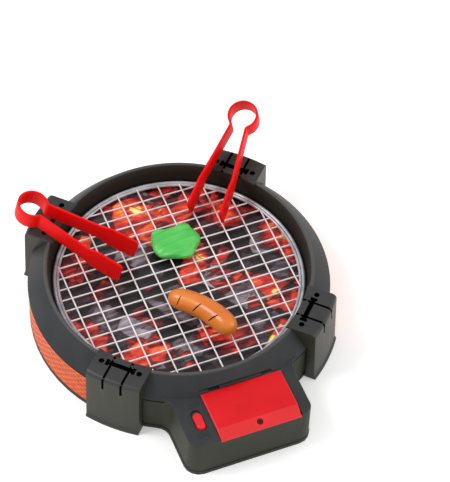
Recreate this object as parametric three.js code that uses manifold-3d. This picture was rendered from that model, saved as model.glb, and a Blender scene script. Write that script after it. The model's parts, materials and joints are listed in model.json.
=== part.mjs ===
// Toy barbecue grill: a round moulded body with a sloping ring, a wire grate over a glowing
// ember sheet, four clamp brackets, a control box with battery cover and switch, two tongs,
// a sausage and a pepper slice.
// Millimetres, +Z up. The origin is on the table, under the middle of the round body, and the
// control box points along -Y.

import * as THREE from "three";
import { mergeVertices } from "three/addons/utils/BufferGeometryUtils.js";
import Module from "manifold-3d";

const wasm = await Module();
wasm.setup();

// General sizes
const wall = 2.2; // moulded housing walls
const thinWall = 1.6; // small inner mouldings
const seatGap = 0.3; // between pieces that rest on each other or slide past each other
const overrun = 1.5; // how far a cut runs past the face it opens
const weldDistance = 1e-4; // vertices closer than this are one
const roundSteps = 64; // facets round the body
const boreSteps = 10; // facets round a small hole or post

// Sloping ring and round body
const lipRadius = 121; // outer edge of the ring
const lipHeight = 37;
const lipBand = 1.8; // short upright edge under the slope
const slopeWidth = 14.7; // from the lip in to the crest
const slopeRise = 17.9;
const crestRadius = lipRadius - slopeWidth;
const crestHeight = lipHeight + slopeRise;
const crestRound = 1.5;
const crestTurn = 170; // degrees, where the crest's round runs into the inner wall
const panelRecess = 3.4; // from the lip in to the upright wall behind the side panels
const drumRadius = lipRadius - panelRecess;

// Grate: a double-beaded rim and welded wires
const gridRise = 1.2; // from the lip up to where the crossing wires touch
const gridHeight = lipHeight + gridRise;
const wireRadius = 0.8;
const wireBite = 0.2; // depth of the weld between crossing wires
const crestToRim = 5.4;
const rimRadius = crestRadius - crestToRim;
const rimWidth = 5.2;
const rimDrop = 1.3; // rim's underside below the crossing plane
const beadRise = 1.3; // beads above the crossing plane
const valleyRise = 0.2; // valley between the beads above the crossing plane
const lengthwisePitchShare = 0.17245; // front-to-back wires' spacing, as a share of the rim's radius
const crosswisePitchShare = 0.10505; // left-to-right wires' spacing, as a share of the rim's radius
const lengthwiseCount = 11;
const crosswiseCount = 17;
const rimSlack = 1; // between the rim and the ring's inner wall

// Printed ember sheet, light bowl and lamps under the grate
const sheetDepth = 3.5; // top of the sheet below the crossing plane
const sheetThickness = 0.8;
const rimSeatWidth = 3.3; // ledge that carries the rim
const sheetSeatWidth = 4; // ledge that carries the sheet
const wellDepth = 19.6; // from the sheet's ledge down to the lower edge of the well wall
const bowlDepth = 19.7; // from the bowl's rim down to its underside
const ribHeight = 7.8; // of the round rib above the tray floor
const bowlSlopeWidth = 36.6; // from the well wall in to the bowl's flat floor
const boardRadius = 22;
const boardThickness = 1.6;
const lampCount = 3;
const lampCircle = 14;
const lampRadius = 2.5;
const lampHeight = 8.6;
const lampCollar = 0.4;
const lampCollarHeight = 1;

// Base tray
const flangeInset = 0.2; // from the lip in to the base edge
const flangeRadius = lipRadius - flangeInset;
const flangeHeight = 3.6;
const flangeWidth = 6.8;
const floorThickness = 2.2;
const ribWidth = 2; // round rib that carries the light bowl

// Cells: two standard AA cells side by side, which set the size of all that is built round them
const cellRadius = 7.1;
const cellLength = 50.5;
const cellNubRadius = 2.7;
const cellNubHeight = 1.4;
const cellEdge = 0.5;
const bayRoom = 12.1; // opening beyond a cell's length, for the contacts and the bay's walls
const openingMargin = 2; // of the cover past the opening in the deck
const openingHalf = (cellLength + bayRoom) / 2;
const coverMiddle = 6.8; // to the right of the middle plane
const coverWidth = 2 * (openingHalf + openingMargin);

// Control box
const postRadius = 3.5; // round posts that take the case screws
const postRoom = 1; // between a post and the cover's edge line
const deckBeside = wall + 2 * postRadius + postRoom; // deck to the right of the cover
const boxDraft = 1.3; // side walls lean in by this much
const boxHalfTop = coverMiddle + coverWidth / 2 + deckBeside;
const boxHalfBottom = boxHalfTop + boxDraft;
const boxLength = 36.8; // from the lip out to the front wall
const boxFront = lipRadius + boxLength;
const boxCornerBottom = 12;
const boxCornerTop = 8;
const deckRise = 2.5; // deck above the lip
const boxRootRound = 12; // hollow curve where a side wall meets the round body
const deckHeight = lipHeight + deckRise;
const deckEdge = 0.7; // chamfer round the deck
const boxFlangeProud = 0.5; // base edge outside the box walls

// Battery cover and its bay
const coverTuck = 6.2; // back edge inside the lip
const coverBack = lipRadius - coverTuck;
const coverProud = 0.6; // front lip outside the box wall
const coverFront = boxFront + coverProud;
const stripWidth = 9.4; // sloping strip along the front
const coverBend = coverFront - stripWidth;
const coverThickness = 1.5;
const coverRise = 1.8; // flat top above the deck
const stripDrop = 3.6; // upper edge of the front lip below the flat top
const coverTopHeight = deckHeight + coverRise;
const coverFrontHeight = coverTopHeight - stripDrop;
const coverLip = 1.7; // height of the front lip
const coverRib = 1.2; // locating rib under the cover
const coverRibDepth = 2.4;
const coverRibSlack = 0.4;
const tabWidth = 8;
const tabSpread = 22; // each tab from the cover's middle
const tabThickness = 1.4;
const tabReach = 1.2; // past the notch wall's face
const notchSlack = 2.6; // between the cover's back edge and the notch wall
const notchSide = 0.7;
const tabSlotDrop = 0.6;
const tabSlotRise = 2.7;
const screwFromMiddle = 0.5; // cover screw to the right of the cover's middle
const screwFromFront = 5.2; // cover screw behind the front lip
const openingBack = coverBack + openingMargin;
const openingLength = 30.8;
const openingFront = openingBack + openingLength;
const bayFlange = 2.5;
const bayDepth = 15.6; // from the wall tops to the floor
const contactThickness = 0.6;
const contactHeight = 12;
const contactWidth = 11;
const springWire = 0.45;
const springRadius = 3.4;
const springTipRadius = 2.2;
const springTurns = 4;
const springLength = 5.6;
const springSides = 5;

// Power switch
const switchFromCover = 9.9; // from the cover's left edge to the switch
const switchFromFront = 22.3;
const switchX = coverMiddle - coverWidth / 2 - switchFromCover;
const switchY = switchFromFront - boxFront;
const recessLength = 19.6;
const recessWidth = 8;
const recessDepth = 1.3;
const sliderLength = 15.4;
const sliderWidth = 6.9;
const sliderRise = 2.6; // above the deck
const sliderRound = 0.9;
const sliderRestGap = 0.3; // to the front end of the recess
const sliderTravel = 3.2;
const stemLength = 4;
const stemWidth = 2.4;
const stemDrop = 4.6; // below the recess floor's upper face
const switchLength = 14;
const switchWidth = 6.4;
const switchHeight = 5.4;
const stemPocketDepth = 3.4;

// Side panels
const panelThickness = 2.7;

// Clamp brackets
const bracketShare = 0.186; // half the width, as a share of the ring's radius
const bracketHalf = bracketShare * lipRadius;
const bracketProud = 1; // top plate above the crest
const bracketTopHeight = crestHeight + bracketProud;
const bracketReachIn = 3.1; // top plate past the crest
const bracketInner = crestRadius - bracketReachIn;
const bracketInnerRound = 0.8;
const bracketReachOut = 6.7; // outer face past the lip, under its rounded top edge
const bracketDraft = 1.6;
const bracketFaceTop = lipRadius + bracketReachOut;
const bracketFaceBottom = bracketFaceTop + bracketDraft;
const bracketEdgeRound = 4;
const bracketFlare = 1.3; // foot outside the face
const bracketFlareHeight = 3.4;
const holeFromCrest = 5;
const bracketHoleCircle = crestRadius + holeFromCrest; // screw holes' distance out along the bracket
const holeFromEdge = 6.6;
const bracketHoleSpread = bracketHalf - holeFromEdge; // screw holes from the bracket's middle
const slotFromCrest = 4.5;
const slotDistance = crestRadius + slotFromCrest;
const slotFromEdge = 11.5;
const slotHalf = bracketHalf - slotFromEdge;
const slotWidth = 2.6;
const slotEndLength = 5.4;
const slotEndWidth = 2;
const grooveSpread = 7.6; // grooves from the bracket's middle
const grooveWidth = 1.1;
const grooveDepth = 1.2;
const grooveDrop = 12; // how far the outer grooves run down the face

// Screws
const bracketScrewHead = 1.6; // radii and heights of the small bracket screws
const bracketScrewShank = 0.85;
const bracketScrewHeadHeight = 1.2;
const bracketScrewLength = 8.4;
const bracketHole = 1.9;
const bracketHoleDepth = 3.7;
const bossRadius = 3.1;
const caseScrewHead = 2.7;
const caseScrewShank = 1.2;
const caseScrewHeadHeight = 1.8;
const caseScrewLength = 12;
const caseScrewSink = 0.6; // head above the table
const postTopDrop = 8.9; // top of the round body's posts below the crest
const postTopHeight = crestHeight - postTopDrop;
const postFromDrum = 10.1; // from the upright wall in to the posts
const casePostCircle = drumRadius - postFromDrum;
const boxPostX = boxHalfTop - wall - postRadius;
const boxPostY = 3 * postRadius - boxFront;
const coverScrewHead = 2.3;
const coverScrewShank = 1.1;
const coverScrewLength = 5;
const coverScrewHeadHeight = 0.9;
const ledgeDepth = 5.4; // front edge's thickness below the deck, which holds the cover screw
const coverScrewRecess = 0.5; // depth of the round recess for its head
const screwSlack = 0.2; // round a shank in its post
const swingSlack = 0.8; // round the cover screw, which swings out with the cover
const screwSteps = 10;
const headFlatShare = 0.7; // flat middle of a screw head, as a share of its radius

// Tongs: one springy strip, round loop and two arms with wide tips
const loopRadius = 12.7;
const stripThickness = 2;
const stripHalf = 8; // half the strip's width at the loop and neck
const paddleHalf = 11;
const neckX = 12.6;
const neckHalf = 6.8; // strip's middle line from the tongs' middle line
const widenX = 58;
const widenHalf = 12.6;
const widenRun = 10; // length over which the strip widens
const tipX = 89;
const tipHalf = 13.9;
const tipRound = paddleHalf - stripHalf;
const loopOpenAngle = 40; // degrees, where the loop bends into the neck
const neckBendX = 10.8;
const neckBendHalf = 6.5;
const leftTipsIn = 83.9; // each pair's tips, along the tongs, inside the lip
const rightTipsIn = 66.3;
const leftLoopOut = tipX - leftTipsIn;
const rightLoopOut = tipX - rightTipsIn;

// Food
const sausageRadius = 9.2;
const sausageBend = 74; // radius of its curved middle line
const sausageHalfAngle = 24.5; // degrees from its middle to each end
const sausageXShare = 0.0456; // place of its middle, as shares of the rim's radius
const sausageYShare = -0.44;
const sausageHeading = -55.5; // degrees
const sausageSwell = 0.04; // share by which the front end is thicker
const sausageSides = 14;
const slitWidth = 1;
const slitDepth = 1.4;
const pepperAhead = 11.15; // from the right tongs' tips to its nearest reach
const pepperAside = -11.94; // from the right tongs' middle line
const pepperThickness = 7.5;
const pepperReach = 20; // from its middle to its furthest point

// Colours: sRGB, with roughness and metalness
const darkPlastic = material(0x424340, 0.55);
const bracketPlastic = material(0x3c3d3a, 0.5);
const panelPlastic = material(0xe0683a, 0.5);
const platedMetal = material(0xd8d2d2, 0.3, 0.8);
const emberPrint = material(0xa53a22, 0.4);
const whitePlastic = material(0xe9e8e4, 0.5);
const boardGreen = material(0x2f6b45, 0.6);
const lampRed = material(0xff5a2a, 0.2);
const redPlastic = material(0xee1f28, 0.4);
const switchRed = material(0xf5373a, 0.35);
const tongsRed = material(0xd80f10, 0.35);
const screwMetal = material(0x8c8f94, 0.35, 1);
const springMetal = material(0xc9ccd0, 0.3, 1);
const cellWrap = material(0x3f5d8a, 0.4, 0.3);
const switchMetal = material(0x9a9da1, 0.4, 0.9);
const sausageVinyl = material(0xe07a1f, 0.35);
const pepperVinyl = material(0x5fd35f, 0.35);

function material(color, roughness, metalness = 0) {
  return new THREE.MeshStandardMaterial({ color, roughness, metalness });
}

// A closed geometry as a solid that can be cut and joined.
function solid(geometry) {
  const bare = geometry.clone();
  bare.deleteAttribute("normal");
  bare.deleteAttribute("uv");
  const welded = mergeVertices(bare, weldDistance);
  const index = welded.index.array;
  const faces = [];
  for (let i = 0; i < index.length; i += 3) {
    const [a, b, c] = [index[i], index[i + 1], index[i + 2]];
    if (a !== b && b !== c && c !== a) faces.push(a, b, c);
  }
  const vertProperties = new Float32Array(welded.attributes.position.array);
  const build = (list) =>
    new wasm.Manifold(
      new wasm.Mesh({ numProp: 3, vertProperties, triVerts: new Uint32Array(list) }),
    );
  const made = build(faces);
  return made.volume() < 0 ? build(faces.reverse()) : made;
}

function geometryOf(made) {
  const mesh = made.getMesh();
  const geometry = new THREE.BufferGeometry();
  geometry.setAttribute("position", new THREE.BufferAttribute(mesh.vertProperties, 3));
  geometry.setIndex(new THREE.BufferAttribute(mesh.triVerts, 1));
  geometry.computeVertexNormals();
  return geometry;
}

// A profile of [radius, height] points turned about the upright axis.
function turned(profile, steps = roundSteps) {
  const points = profile.map(([radius, height]) => new THREE.Vector2(radius, height));
  const onAxis = points[0].x === 0 && points[points.length - 1].x === 0;
  if (!onAxis) points.push(points[0].clone());
  return new THREE.LatheGeometry(points, steps).rotateX(Math.PI / 2);
}

// An outline of Vector2 points as an upright block from one height to another.
function upright(outline, bottom, top) {
  const depth = top - bottom;
  return new THREE.ExtrudeGeometry(new THREE.Shape(outline), { depth, bevelEnabled: false }).translate(
    0,
    0,
    bottom,
  );
}

// A profile of [outward, height] points as a block from x = left to x = right; outward is -Y.
function sideways(profile, left, right) {
  const outline = profile.map(([outward, height]) => new THREE.Vector2(outward, height));
  const depth = right - left;
  return new THREE.ExtrudeGeometry(new THREE.Shape(outline), { depth, bevelEnabled: false })
    .rotateX(Math.PI / 2)
    .rotateZ(-Math.PI / 2)
    .translate(right, 0, 0);
}

function block(left, right, front, back, bottom, top) {
  return new THREE.BoxGeometry(right - left, back - front, top - bottom).translate(
    (left + right) / 2,
    (front + back) / 2,
    (bottom + top) / 2,
  );
}

// A peg square to the cover's sloping strip at the cover screw; heights count from the strip
function stripPeg(radius, bottom, top) {
  return peg(radius, bottom, top).rotateX(stripLean).translate(coverScrewX, coverScrewY, coverScrewTop);
}

function peg(radius, bottom, top, steps = boreSteps) {
  return new THREE.CylinderGeometry(radius, radius, top - bottom, steps)
    .rotateX(Math.PI / 2)
    .translate(0, 0, (bottom + top) / 2);
}

// Rings of Vector3 points, all with the same number of points, skinned and closed at both ends.
function skinned(rings, capOutline) {
  const count = rings[0].length;
  const positions = rings.flat().flatMap((point) => [point.x, point.y, point.z]);
  const faces = [];
  for (let ring = 0; ring + 1 < rings.length; ring += 1) {
    for (let i = 0; i < count; i += 1) {
      const next = (i + 1) % count;
      const a = ring * count + i;
      const b = ring * count + next;
      faces.push(a, b, b + count, a, b + count, a + count);
    }
  }
  const last = (rings.length - 1) * count;
  for (const [a, b, c] of THREE.ShapeUtils.triangulateShape(capOutline, [])) {
    faces.push(c, b, a, last + a, last + b, last + c);
  }
  const geometry = new THREE.BufferGeometry();
  geometry.setAttribute("position", new THREE.Float32BufferAttribute(positions, 3));
  geometry.setIndex(faces);
  return geometry;
}

// Points of an arc about a middle, from one angle to another, in degrees.
function arc(middle, radius, from, to, steps) {
  const points = [];
  for (let i = 0; i <= steps; i += 1) {
    const angle = THREE.MathUtils.degToRad(from + ((to - from) * i) / steps);
    const reach = new THREE.Vector2(Math.cos(angle), Math.sin(angle));
    points.push(reach.multiplyScalar(radius).add(middle));
  }
  return points;
}

function joined(geometries) {
  return geometries.map(solid).reduce((all, one) => all.add(one));
}

function cutBy(made, geometries) {
  return geometries.reduce((left, one) => left.subtract(solid(one)), made);
}

const rightAngle = 90;
const bracketAngles = [45, 135, 225, 315];
const radians = THREE.MathUtils.degToRad;

// Heights and radii that follow from the driving sizes
const drumFoot = flangeHeight + seatGap;
const lipUnder = lipHeight - lipBand;
const slopeLean = Math.atan2(crestHeight - lipHeight, lipRadius - crestRadius);
const rimUnder = gridHeight - rimDrop;
const rimSeat = rimUnder - seatGap;
const pocketRadius = rimRadius + rimSlack;
const sheetPocket = pocketRadius - rimSeatWidth;
const sheetTop = gridHeight - sheetDepth;
const sheetSeat = sheetTop - sheetThickness - seatGap;
const wellRadius = sheetPocket - sheetSeatWidth;
const wellFootHeight = sheetSeat - wellDepth;
const bowlFloorHeight = floorThickness + ribHeight + seatGap;
const bowlRimHeight = bowlFloorHeight + bowlDepth;
const bowlFloorRadius = wellRadius - bowlSlopeWidth;
const bracketHalfAngle = THREE.MathUtils.radToDeg(Math.asin((bracketHalf + seatGap) / drumRadius));
const panelHalfAngle = rightAngle / 2 - bracketHalfAngle; // degrees each side of a panel's middle
const frontHalfAngle = (rightAngle - bracketHalfAngle) / 2; // the bare front ends behind the brackets
const wireTop = gridHeight - wireBite / 2 + 2 * wireRadius;
const deckUnder = deckHeight - wall;
const crestMiddle = new THREE.Vector2(crestRadius, crestHeight - crestRound);
const coverLeft = coverMiddle - coverWidth / 2;
const coverRight = coverMiddle + coverWidth / 2;
const coverUnder = coverTopHeight - coverThickness;
const stripSlope = (coverTopHeight - coverFrontHeight) / (coverFront - coverBend);
const coverScrewX = coverMiddle + screwFromMiddle;
const coverScrewY = screwFromFront - coverFront;
const coverScrewTop = coverFrontHeight + screwFromFront * stripSlope;
const stripLean = Math.atan(stripSlope);
const notchBack = coverBack - notchSlack;

// Where the slope's outer face lies, at a distance from the middle axis
const slopeFoot = new THREE.Vector2(lipRadius, lipHeight);
const slopeTop = arc(crestMiddle, crestRound, rightAngle - THREE.MathUtils.radToDeg(slopeLean), 0, 1)[0];
const slopeDirection = slopeTop.clone().sub(slopeFoot).normalize();

function slopeHeight(radius) {
  return slopeFoot.y + ((radius - slopeFoot.x) * slopeDirection.y) / slopeDirection.x;
}

function slopeRadius(height) {
  return slopeFoot.x + ((height - slopeFoot.y) * slopeDirection.x) / slopeDirection.y;
}

const slopeGap = seatGap / slopeDirection.y; // the seat gap measured level across the slope

// The ring's outer contour from the drum's foot to the crest and down to the rim's ledge
function ringContour() {
  const crestStart = rightAngle - THREE.MathUtils.radToDeg(slopeLean);
  const round = arc(crestMiddle, crestRound, crestStart, crestTurn, 4);
  return [
    [drumRadius, drumFoot],
    [drumRadius, lipUnder],
    [lipRadius, lipUnder],
    [lipRadius, lipHeight],
    ...round.map((point) => [point.x, point.y]),
    [pocketRadius, rimSeat],
  ];
}

// Control box outline at a height, drawn in by an inset
function boxOutline(height, inset) {
  const rise = height / deckHeight;
  const half = THREE.MathUtils.lerp(boxHalfBottom, boxHalfTop, rise) - inset;
  const corner = THREE.MathUtils.lerp(boxCornerBottom, boxCornerTop, rise) - inset;
  const front = boxFront - inset;
  const root = boxRootRound + inset;
  const body = drumRadius + panelThickness - inset;
  const rootX = half + root;
  const rootY = Math.sqrt((body + root) ** 2 - rootX ** 2);
  const meet = THREE.MathUtils.radToDeg(Math.atan2(rootY, rootX));
  const inner = new THREE.Vector2(rootX, -rootY).setLength(wellRadius);
  const rightSide = [
    ...arc(new THREE.Vector2(half - corner, corner - front), corner, -rightAngle, 0, 4),
    ...arc(new THREE.Vector2(rootX, -rootY), root, 2 * rightAngle, 2 * rightAngle - meet, 4),
    inner,
  ];
  const leftSide = rightSide.map((point) => new THREE.Vector2(-point.x, point.y)).reverse();
  return [...rightSide, ...leftSide];
}

function boxBlock(levels) {
  const rings = levels.map(([height, inset]) =>
    boxOutline(height, inset).map((point) => new THREE.Vector3(point.x, point.y, height)),
  );
  return solid(skinned(rings, boxOutline(levels[0][0], levels[0][1])));
}

// Bare front of the round body, between the control box and the front brackets
function frontSector(bottom, top, inset) {
  const middle = new THREE.Vector2(0, 0);
  const outer = drumRadius + panelThickness - inset;
  const half = frontHalfAngle - THREE.MathUtils.radToDeg(inset / outer);
  const outline = [
    ...arc(middle, outer, -rightAngle - half, half - rightAngle, 14),
    ...arc(middle, wellRadius, half - rightAngle, -rightAngle - half, 14),
  ];
  return upright(outline, bottom, top);
}

// Upper housing: ring, drum wall, well and control box in one moulding
function upperHousing() {
  const slopeInset = new THREE.Vector2(-slopeDirection.y, slopeDirection.x).multiplyScalar(wall);
  const innerFoot = slopeFoot.clone().add(slopeInset);
  const drumInner = drumRadius - wall;
  const slopeShare = (innerFoot.x - drumInner) / -slopeDirection.x;
  const innerStart = innerFoot.clone().addScaledVector(slopeDirection, slopeShare);
  const hollowTop = [crestRadius + wall / 4, crestHeight - 2 * wall];
  const ring = solid(
    turned([
      ...ringContour(),
      [sheetPocket, rimSeat],
      [sheetPocket, sheetSeat],
      [wellRadius, sheetSeat],
      [wellRadius, wellFootHeight],
      [wellRadius + wall, wellFootHeight],
      [wellRadius + wall, sheetSeat - wall],
      [sheetPocket + wall, sheetSeat - wall],
      [sheetPocket + wall, rimSeat - wall],
      [pocketRadius + wall, rimSeat - wall],
      hollowTop,
      [innerStart.x, innerStart.y],
      [drumInner, drumFoot],
    ]),
  );
  const ringCore = solid(peg(drumInner, 0, deckHeight + overrun, roundSteps));
  const hollowCore = solid(peg(pocketRadius + 2 * wall, 0, deckHeight + overrun, roundSteps));
  const boxOuter = boxBlock([
    [drumFoot, 0],
    [deckHeight - deckEdge, 0],
    [deckHeight, deckEdge],
  ]);
  const boxInner = boxBlock([
    [drumFoot - overrun, wall],
    [deckUnder, wall],
  ]);
  const frontOuter = solid(frontSector(drumFoot, lipUnder, 0));
  const frontInner = solid(frontSector(drumFoot - overrun, lipUnder - wall, wall));
  let made = ring.add(boxOuter.add(frontOuter).subtract(ringCore));
  made = made.subtract(boxInner.add(frontInner).subtract(hollowCore));
  made = withPosts(made);
  made = withCoverSeat(made);
  made = withSwitchRecess(made);
  return withBracketSeats(made);
}

// Screw posts that come down from the ring and the deck to the base tray
function casePostPlaces() {
  const round = [0, rightAngle, 2 * rightAngle].map((angle) => ({
    x: casePostCircle * Math.cos(radians(angle)),
    y: casePostCircle * Math.sin(radians(angle)),
    top: postTopHeight,
  }));
  const boxPostTop = deckHeight - wall / 2;
  const front = [-boxPostX, boxPostX].map((x) => ({ x, y: boxPostY, top: boxPostTop }));
  return [...round, ...front];
}

const postFoot = floorThickness + flangeHeight;

function withPosts(made) {
  const pilot = caseScrewShank + screwSlack;
  const pilotTop = caseScrewSink + caseScrewHeadHeight + caseScrewLength + overrun;
  let result = made;
  for (const { x, y, top } of casePostPlaces()) {
    const post = solid(peg(postRadius, postFoot, top).translate(x, y, 0));
    const bore = solid(peg(pilot, postFoot - overrun, pilotTop).translate(x, y, 0));
    result = result.add(post).subtract(bore);
  }
  return result;
}

// The ring's outer contour as a filled body, which keeps inner ribs and bosses behind its slope
function filledRing() {
  return solid(turned([[0, drumFoot], ...ringContour().slice(0, -1), [0, crestHeight]]));
}

// Notch in the foot of the slope, opening over the bay, and the thick sloping front edge
function withCoverSeat(made) {
  const left = coverLeft - notchSide;
  const right = coverRight + notchSide;
  const backing = solid(
    block(left - wall, right + wall, -lipRadius, wall - notchBack, deckUnder, crestHeight),
  ).intersect(filledRing());
  const stripGap = seatGap / Math.cos(stripLean);
  const bendHeight = coverUnder - stripGap;
  const frontHeight = bendHeight - (boxFront + overrun - coverBend) * stripSlope;
  const ledge = solid(
    sideways(
      [
        [openingFront + thinWall + seatGap, deckUnder],
        [openingFront + thinWall + seatGap, deckHeight],
        [boxFront - deckEdge, deckHeight],
        [boxFront - deckEdge, deckUnder - ledgeDepth],
      ],
      left - wall,
      right + wall,
    ),
  );
  const joinedUp = made.add(backing).add(ledge);
  const stripCut = sideways(
    [
      [coverBend, bendHeight],
      [coverBend, crestHeight],
      [boxFront + overrun, crestHeight],
      [boxFront + overrun, frontHeight],
    ],
    left,
    right,
  );
  const tabSlots = [-tabSpread, tabSpread].map((spread) =>
    block(
      coverMiddle + spread - tabWidth / 2 - coverRibSlack,
      coverMiddle + spread + tabWidth / 2 + coverRibSlack,
      -notchBack - overrun,
      wall - notchBack + overrun,
      deckHeight - tabSlotDrop,
      deckHeight + tabSlotRise,
    ),
  );
  return cutBy(joinedUp, [
    block(left, right, -lipRadius - overrun, -notchBack, deckHeight, crestHeight),
    block(
      coverMiddle - openingHalf,
      coverMiddle + openingHalf,
      -openingFront,
      -openingBack,
      deckUnder - 2 * wall,
      deckHeight + overrun,
    ),
    stripCut,
    ...tabSlots,
    stripPeg(coverScrewShank + swingSlack, -coverScrewLength - wall, overrun),
  ]);
}

// A stadium outline along Y about a middle
function stadium(x, y, length, width, steps) {
  const reach = (length - width) / 2;
  const middleBack = new THREE.Vector2(x, y + reach);
  const middleFront = new THREE.Vector2(x, y - reach);
  return [
    ...arc(middleBack, width / 2, 0, 2 * rightAngle, steps),
    ...arc(middleFront, width / 2, 2 * rightAngle, 4 * rightAngle, steps),
  ];
}

const sliderY = switchY - recessLength / 2 + sliderRestGap + sliderLength / 2;
const stemSlotLength = stemLength + sliderTravel + 2 * seatGap;
const stemSlotMiddle = sliderY + sliderTravel / 2;

function withSwitchRecess(made) {
  const recess = upright(
    stadium(switchX, switchY, recessLength, recessWidth, 6),
    deckHeight - recessDepth,
    deckHeight + overrun,
  );
  const slot = block(
    switchX - stemWidth / 2 - seatGap,
    switchX + stemWidth / 2 + seatGap,
    stemSlotMiddle - stemSlotLength / 2,
    stemSlotMiddle + stemSlotLength / 2,
    deckUnder - overrun,
    deckHeight,
  );
  return cutBy(made, [recess, slot]);
}

// The crest is cut down under each bracket's top plate, and bosses take the bracket screws
function withBracketSeats(made) {
  const plateUnder = bracketTopHeight - wall;
  const screwTop = bracketTopHeight - bracketHoleDepth + bracketScrewHeadHeight;
  const screwFoot = screwTop - bracketScrewHeadHeight - bracketScrewLength;
  const ringBody = filledRing();
  let result = made;
  for (const angle of bracketAngles) {
    for (const side of [-bracketHoleSpread, bracketHoleSpread]) {
      const top = slopeHeight(Math.hypot(bracketHoleCircle, side)) - wall / 2;
      const boss = peg(bossRadius, screwFoot - wall, top, boreSteps)
        .translate(bracketHoleCircle, side, 0)
        .rotateZ(radians(angle));
      result = result.add(solid(boss).intersect(ringBody));
    }
  }
  for (const angle of bracketAngles) {
    const seat = block(
      bracketInner - overrun,
      bracketHoleCircle,
      -bracketHalf - seatGap,
      bracketHalf + seatGap,
      plateUnder - seatGap,
      crestHeight + overrun,
    ).rotateZ(radians(angle));
    const bores = [-bracketHoleSpread, bracketHoleSpread].map((side) =>
      peg(bracketScrewShank + screwSlack, screwFoot - seatGap, crestHeight)
        .translate(bracketHoleCircle, side, 0)
        .rotateZ(radians(angle)),
    );
    result = cutBy(result, [seat, ...bores]);
  }
  return result;
}

// Base tray: a flat floor with a raised edge, a round rib and screw wells
function baseTray() {
  const boxPart = (top, inset) =>
    boxBlock([
      [0, inset],
      [top, inset],
    ]);
  const ribOuter = bowlFloorRadius - ribWidth;
  let made = solid(peg(flangeRadius, 0, flangeHeight, roundSteps)).add(
    boxPart(flangeHeight, -boxFlangeProud),
  );
  const roundInside = peg(flangeRadius - flangeWidth, floorThickness, flangeHeight + overrun, roundSteps);
  const boxInside = boxBlock([
    [floorThickness, wall + boxFlangeProud],
    [flangeHeight + overrun, wall + boxFlangeProud],
  ]);
  made = made.subtract(solid(roundInside)).subtract(boxInside);
  const rib = turned([
    [ribOuter, floorThickness / 2],
    [ribOuter, bowlFloorHeight - seatGap],
    [ribOuter - ribWidth, bowlFloorHeight - seatGap],
    [ribOuter - ribWidth, floorThickness / 2],
  ]);
  made = made.add(solid(rib));
  const headBore = caseScrewHead + screwSlack;
  for (const { x, y } of casePostPlaces()) {
    const padRadius = postRadius + 1.5 * screwSlack;
    const pad = solid(peg(padRadius, floorThickness / 2, postFoot - seatGap).translate(x, y, 0));
    const well = solid(
      peg(headBore, -overrun, caseScrewSink + caseScrewHeadHeight + screwSlack).translate(x, y, 0),
    );
    const bore = solid(peg(caseScrewShank + screwSlack, -overrun, postFoot).translate(x, y, 0));
    made = made.add(pad).subtract(well).subtract(bore);
  }
  return made;
}

// Side panel: a curved strip between two brackets
function sidePanel() {
  const inner = drumRadius + seatGap;
  const outer = drumRadius + panelThickness + seatGap;
  const middle = new THREE.Vector2(0, 0);
  const outline = [
    ...arc(middle, outer, -panelHalfAngle, panelHalfAngle, 14),
    ...arc(middle, inner, panelHalfAngle, -panelHalfAngle, 14),
  ];
  return solid(upright(outline, drumFoot, lipUnder - seatGap));
}

// Clamp bracket, drawn pointing along +X: a cap over the ring with slot, grooves and holes
function clampBracket() {
  const edgeMiddle = new THREE.Vector2(
    bracketFaceTop - bracketEdgeRound,
    bracketTopHeight - bracketEdgeRound,
  );
  const innerEdge = new THREE.Vector2(
    bracketInner + bracketInnerRound,
    bracketTopHeight - bracketInnerRound,
  );
  const plateUnder = bracketTopHeight - wall;
  const outerEdge = arc(edgeMiddle, bracketEdgeRound, 0, rightAngle, 4);
  const innerRound = arc(innerEdge, bracketInnerRound, rightAngle, 2 * rightAngle, 2);
  const shell = turned([
    [flangeRadius + seatGap, 0],
    [bracketFaceBottom + bracketFlare, 0],
    [bracketFaceBottom + bracketFlare, bracketFlareHeight / 2],
    [bracketFaceBottom, bracketFlareHeight],
    ...outerEdge.map((point) => [point.x, point.y]),
    ...innerRound.map((point) => [point.x, point.y]),
    [bracketInner, plateUnder],
    [slopeRadius(plateUnder) + slopeGap, plateUnder],
    [lipRadius + seatGap, slopeHeight(lipRadius + seatGap - slopeGap)],
    [lipRadius + seatGap, drumFoot],
  ]);
  const halfCap = block(
    bracketInner - overrun,
    bracketFaceBottom + bracketFlare + overrun,
    -bracketHalf,
    bracketHalf,
    -overrun,
    bracketTopHeight + overrun,
  );
  const inset = wall + seatGap;
  const hollow = turned([
    [lipRadius - overrun, -overrun],
    [bracketFaceBottom - wall, -overrun],
    [bracketFaceTop - wall, bracketTopHeight - bracketEdgeRound],
    [bracketFaceTop - wall - bracketEdgeRound / 2, plateUnder],
    [bracketHoleCircle + 2 * wall, plateUnder],
    [lipRadius - overrun, slopeHeight(lipRadius - overrun)],
  ]);
  const hollowWidth = block(
    bracketHoleCircle,
    bracketFaceBottom + bracketFlare,
    inset - bracketHalf,
    bracketHalf - inset,
    -2 * overrun,
    plateUnder,
  );
  const inside = solid(hollow).intersect(solid(hollowWidth));
  const bossKeep = [-bracketHoleSpread, bracketHoleSpread].map((side) =>
    peg(bossRadius, 0, bracketTopHeight).translate(bracketHoleCircle, side, 0),
  );
  const made = solid(shell).intersect(solid(halfCap)).subtract(cutBy(inside, bossKeep));
  const holes = [-bracketHoleSpread, bracketHoleSpread].flatMap((side) => [
    peg(bracketHole, bracketTopHeight - bracketHoleDepth, bracketTopHeight + overrun).translate(
      bracketHoleCircle,
      side,
      0,
    ),
    peg(bracketScrewShank + screwSlack, lipHeight, bracketTopHeight).translate(
      bracketHoleCircle,
      side,
      0,
    ),
  ]);
  return cutBy(made, [...holes, ...bracketSlot(), ...bracketGrooves()]);
}

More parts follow.
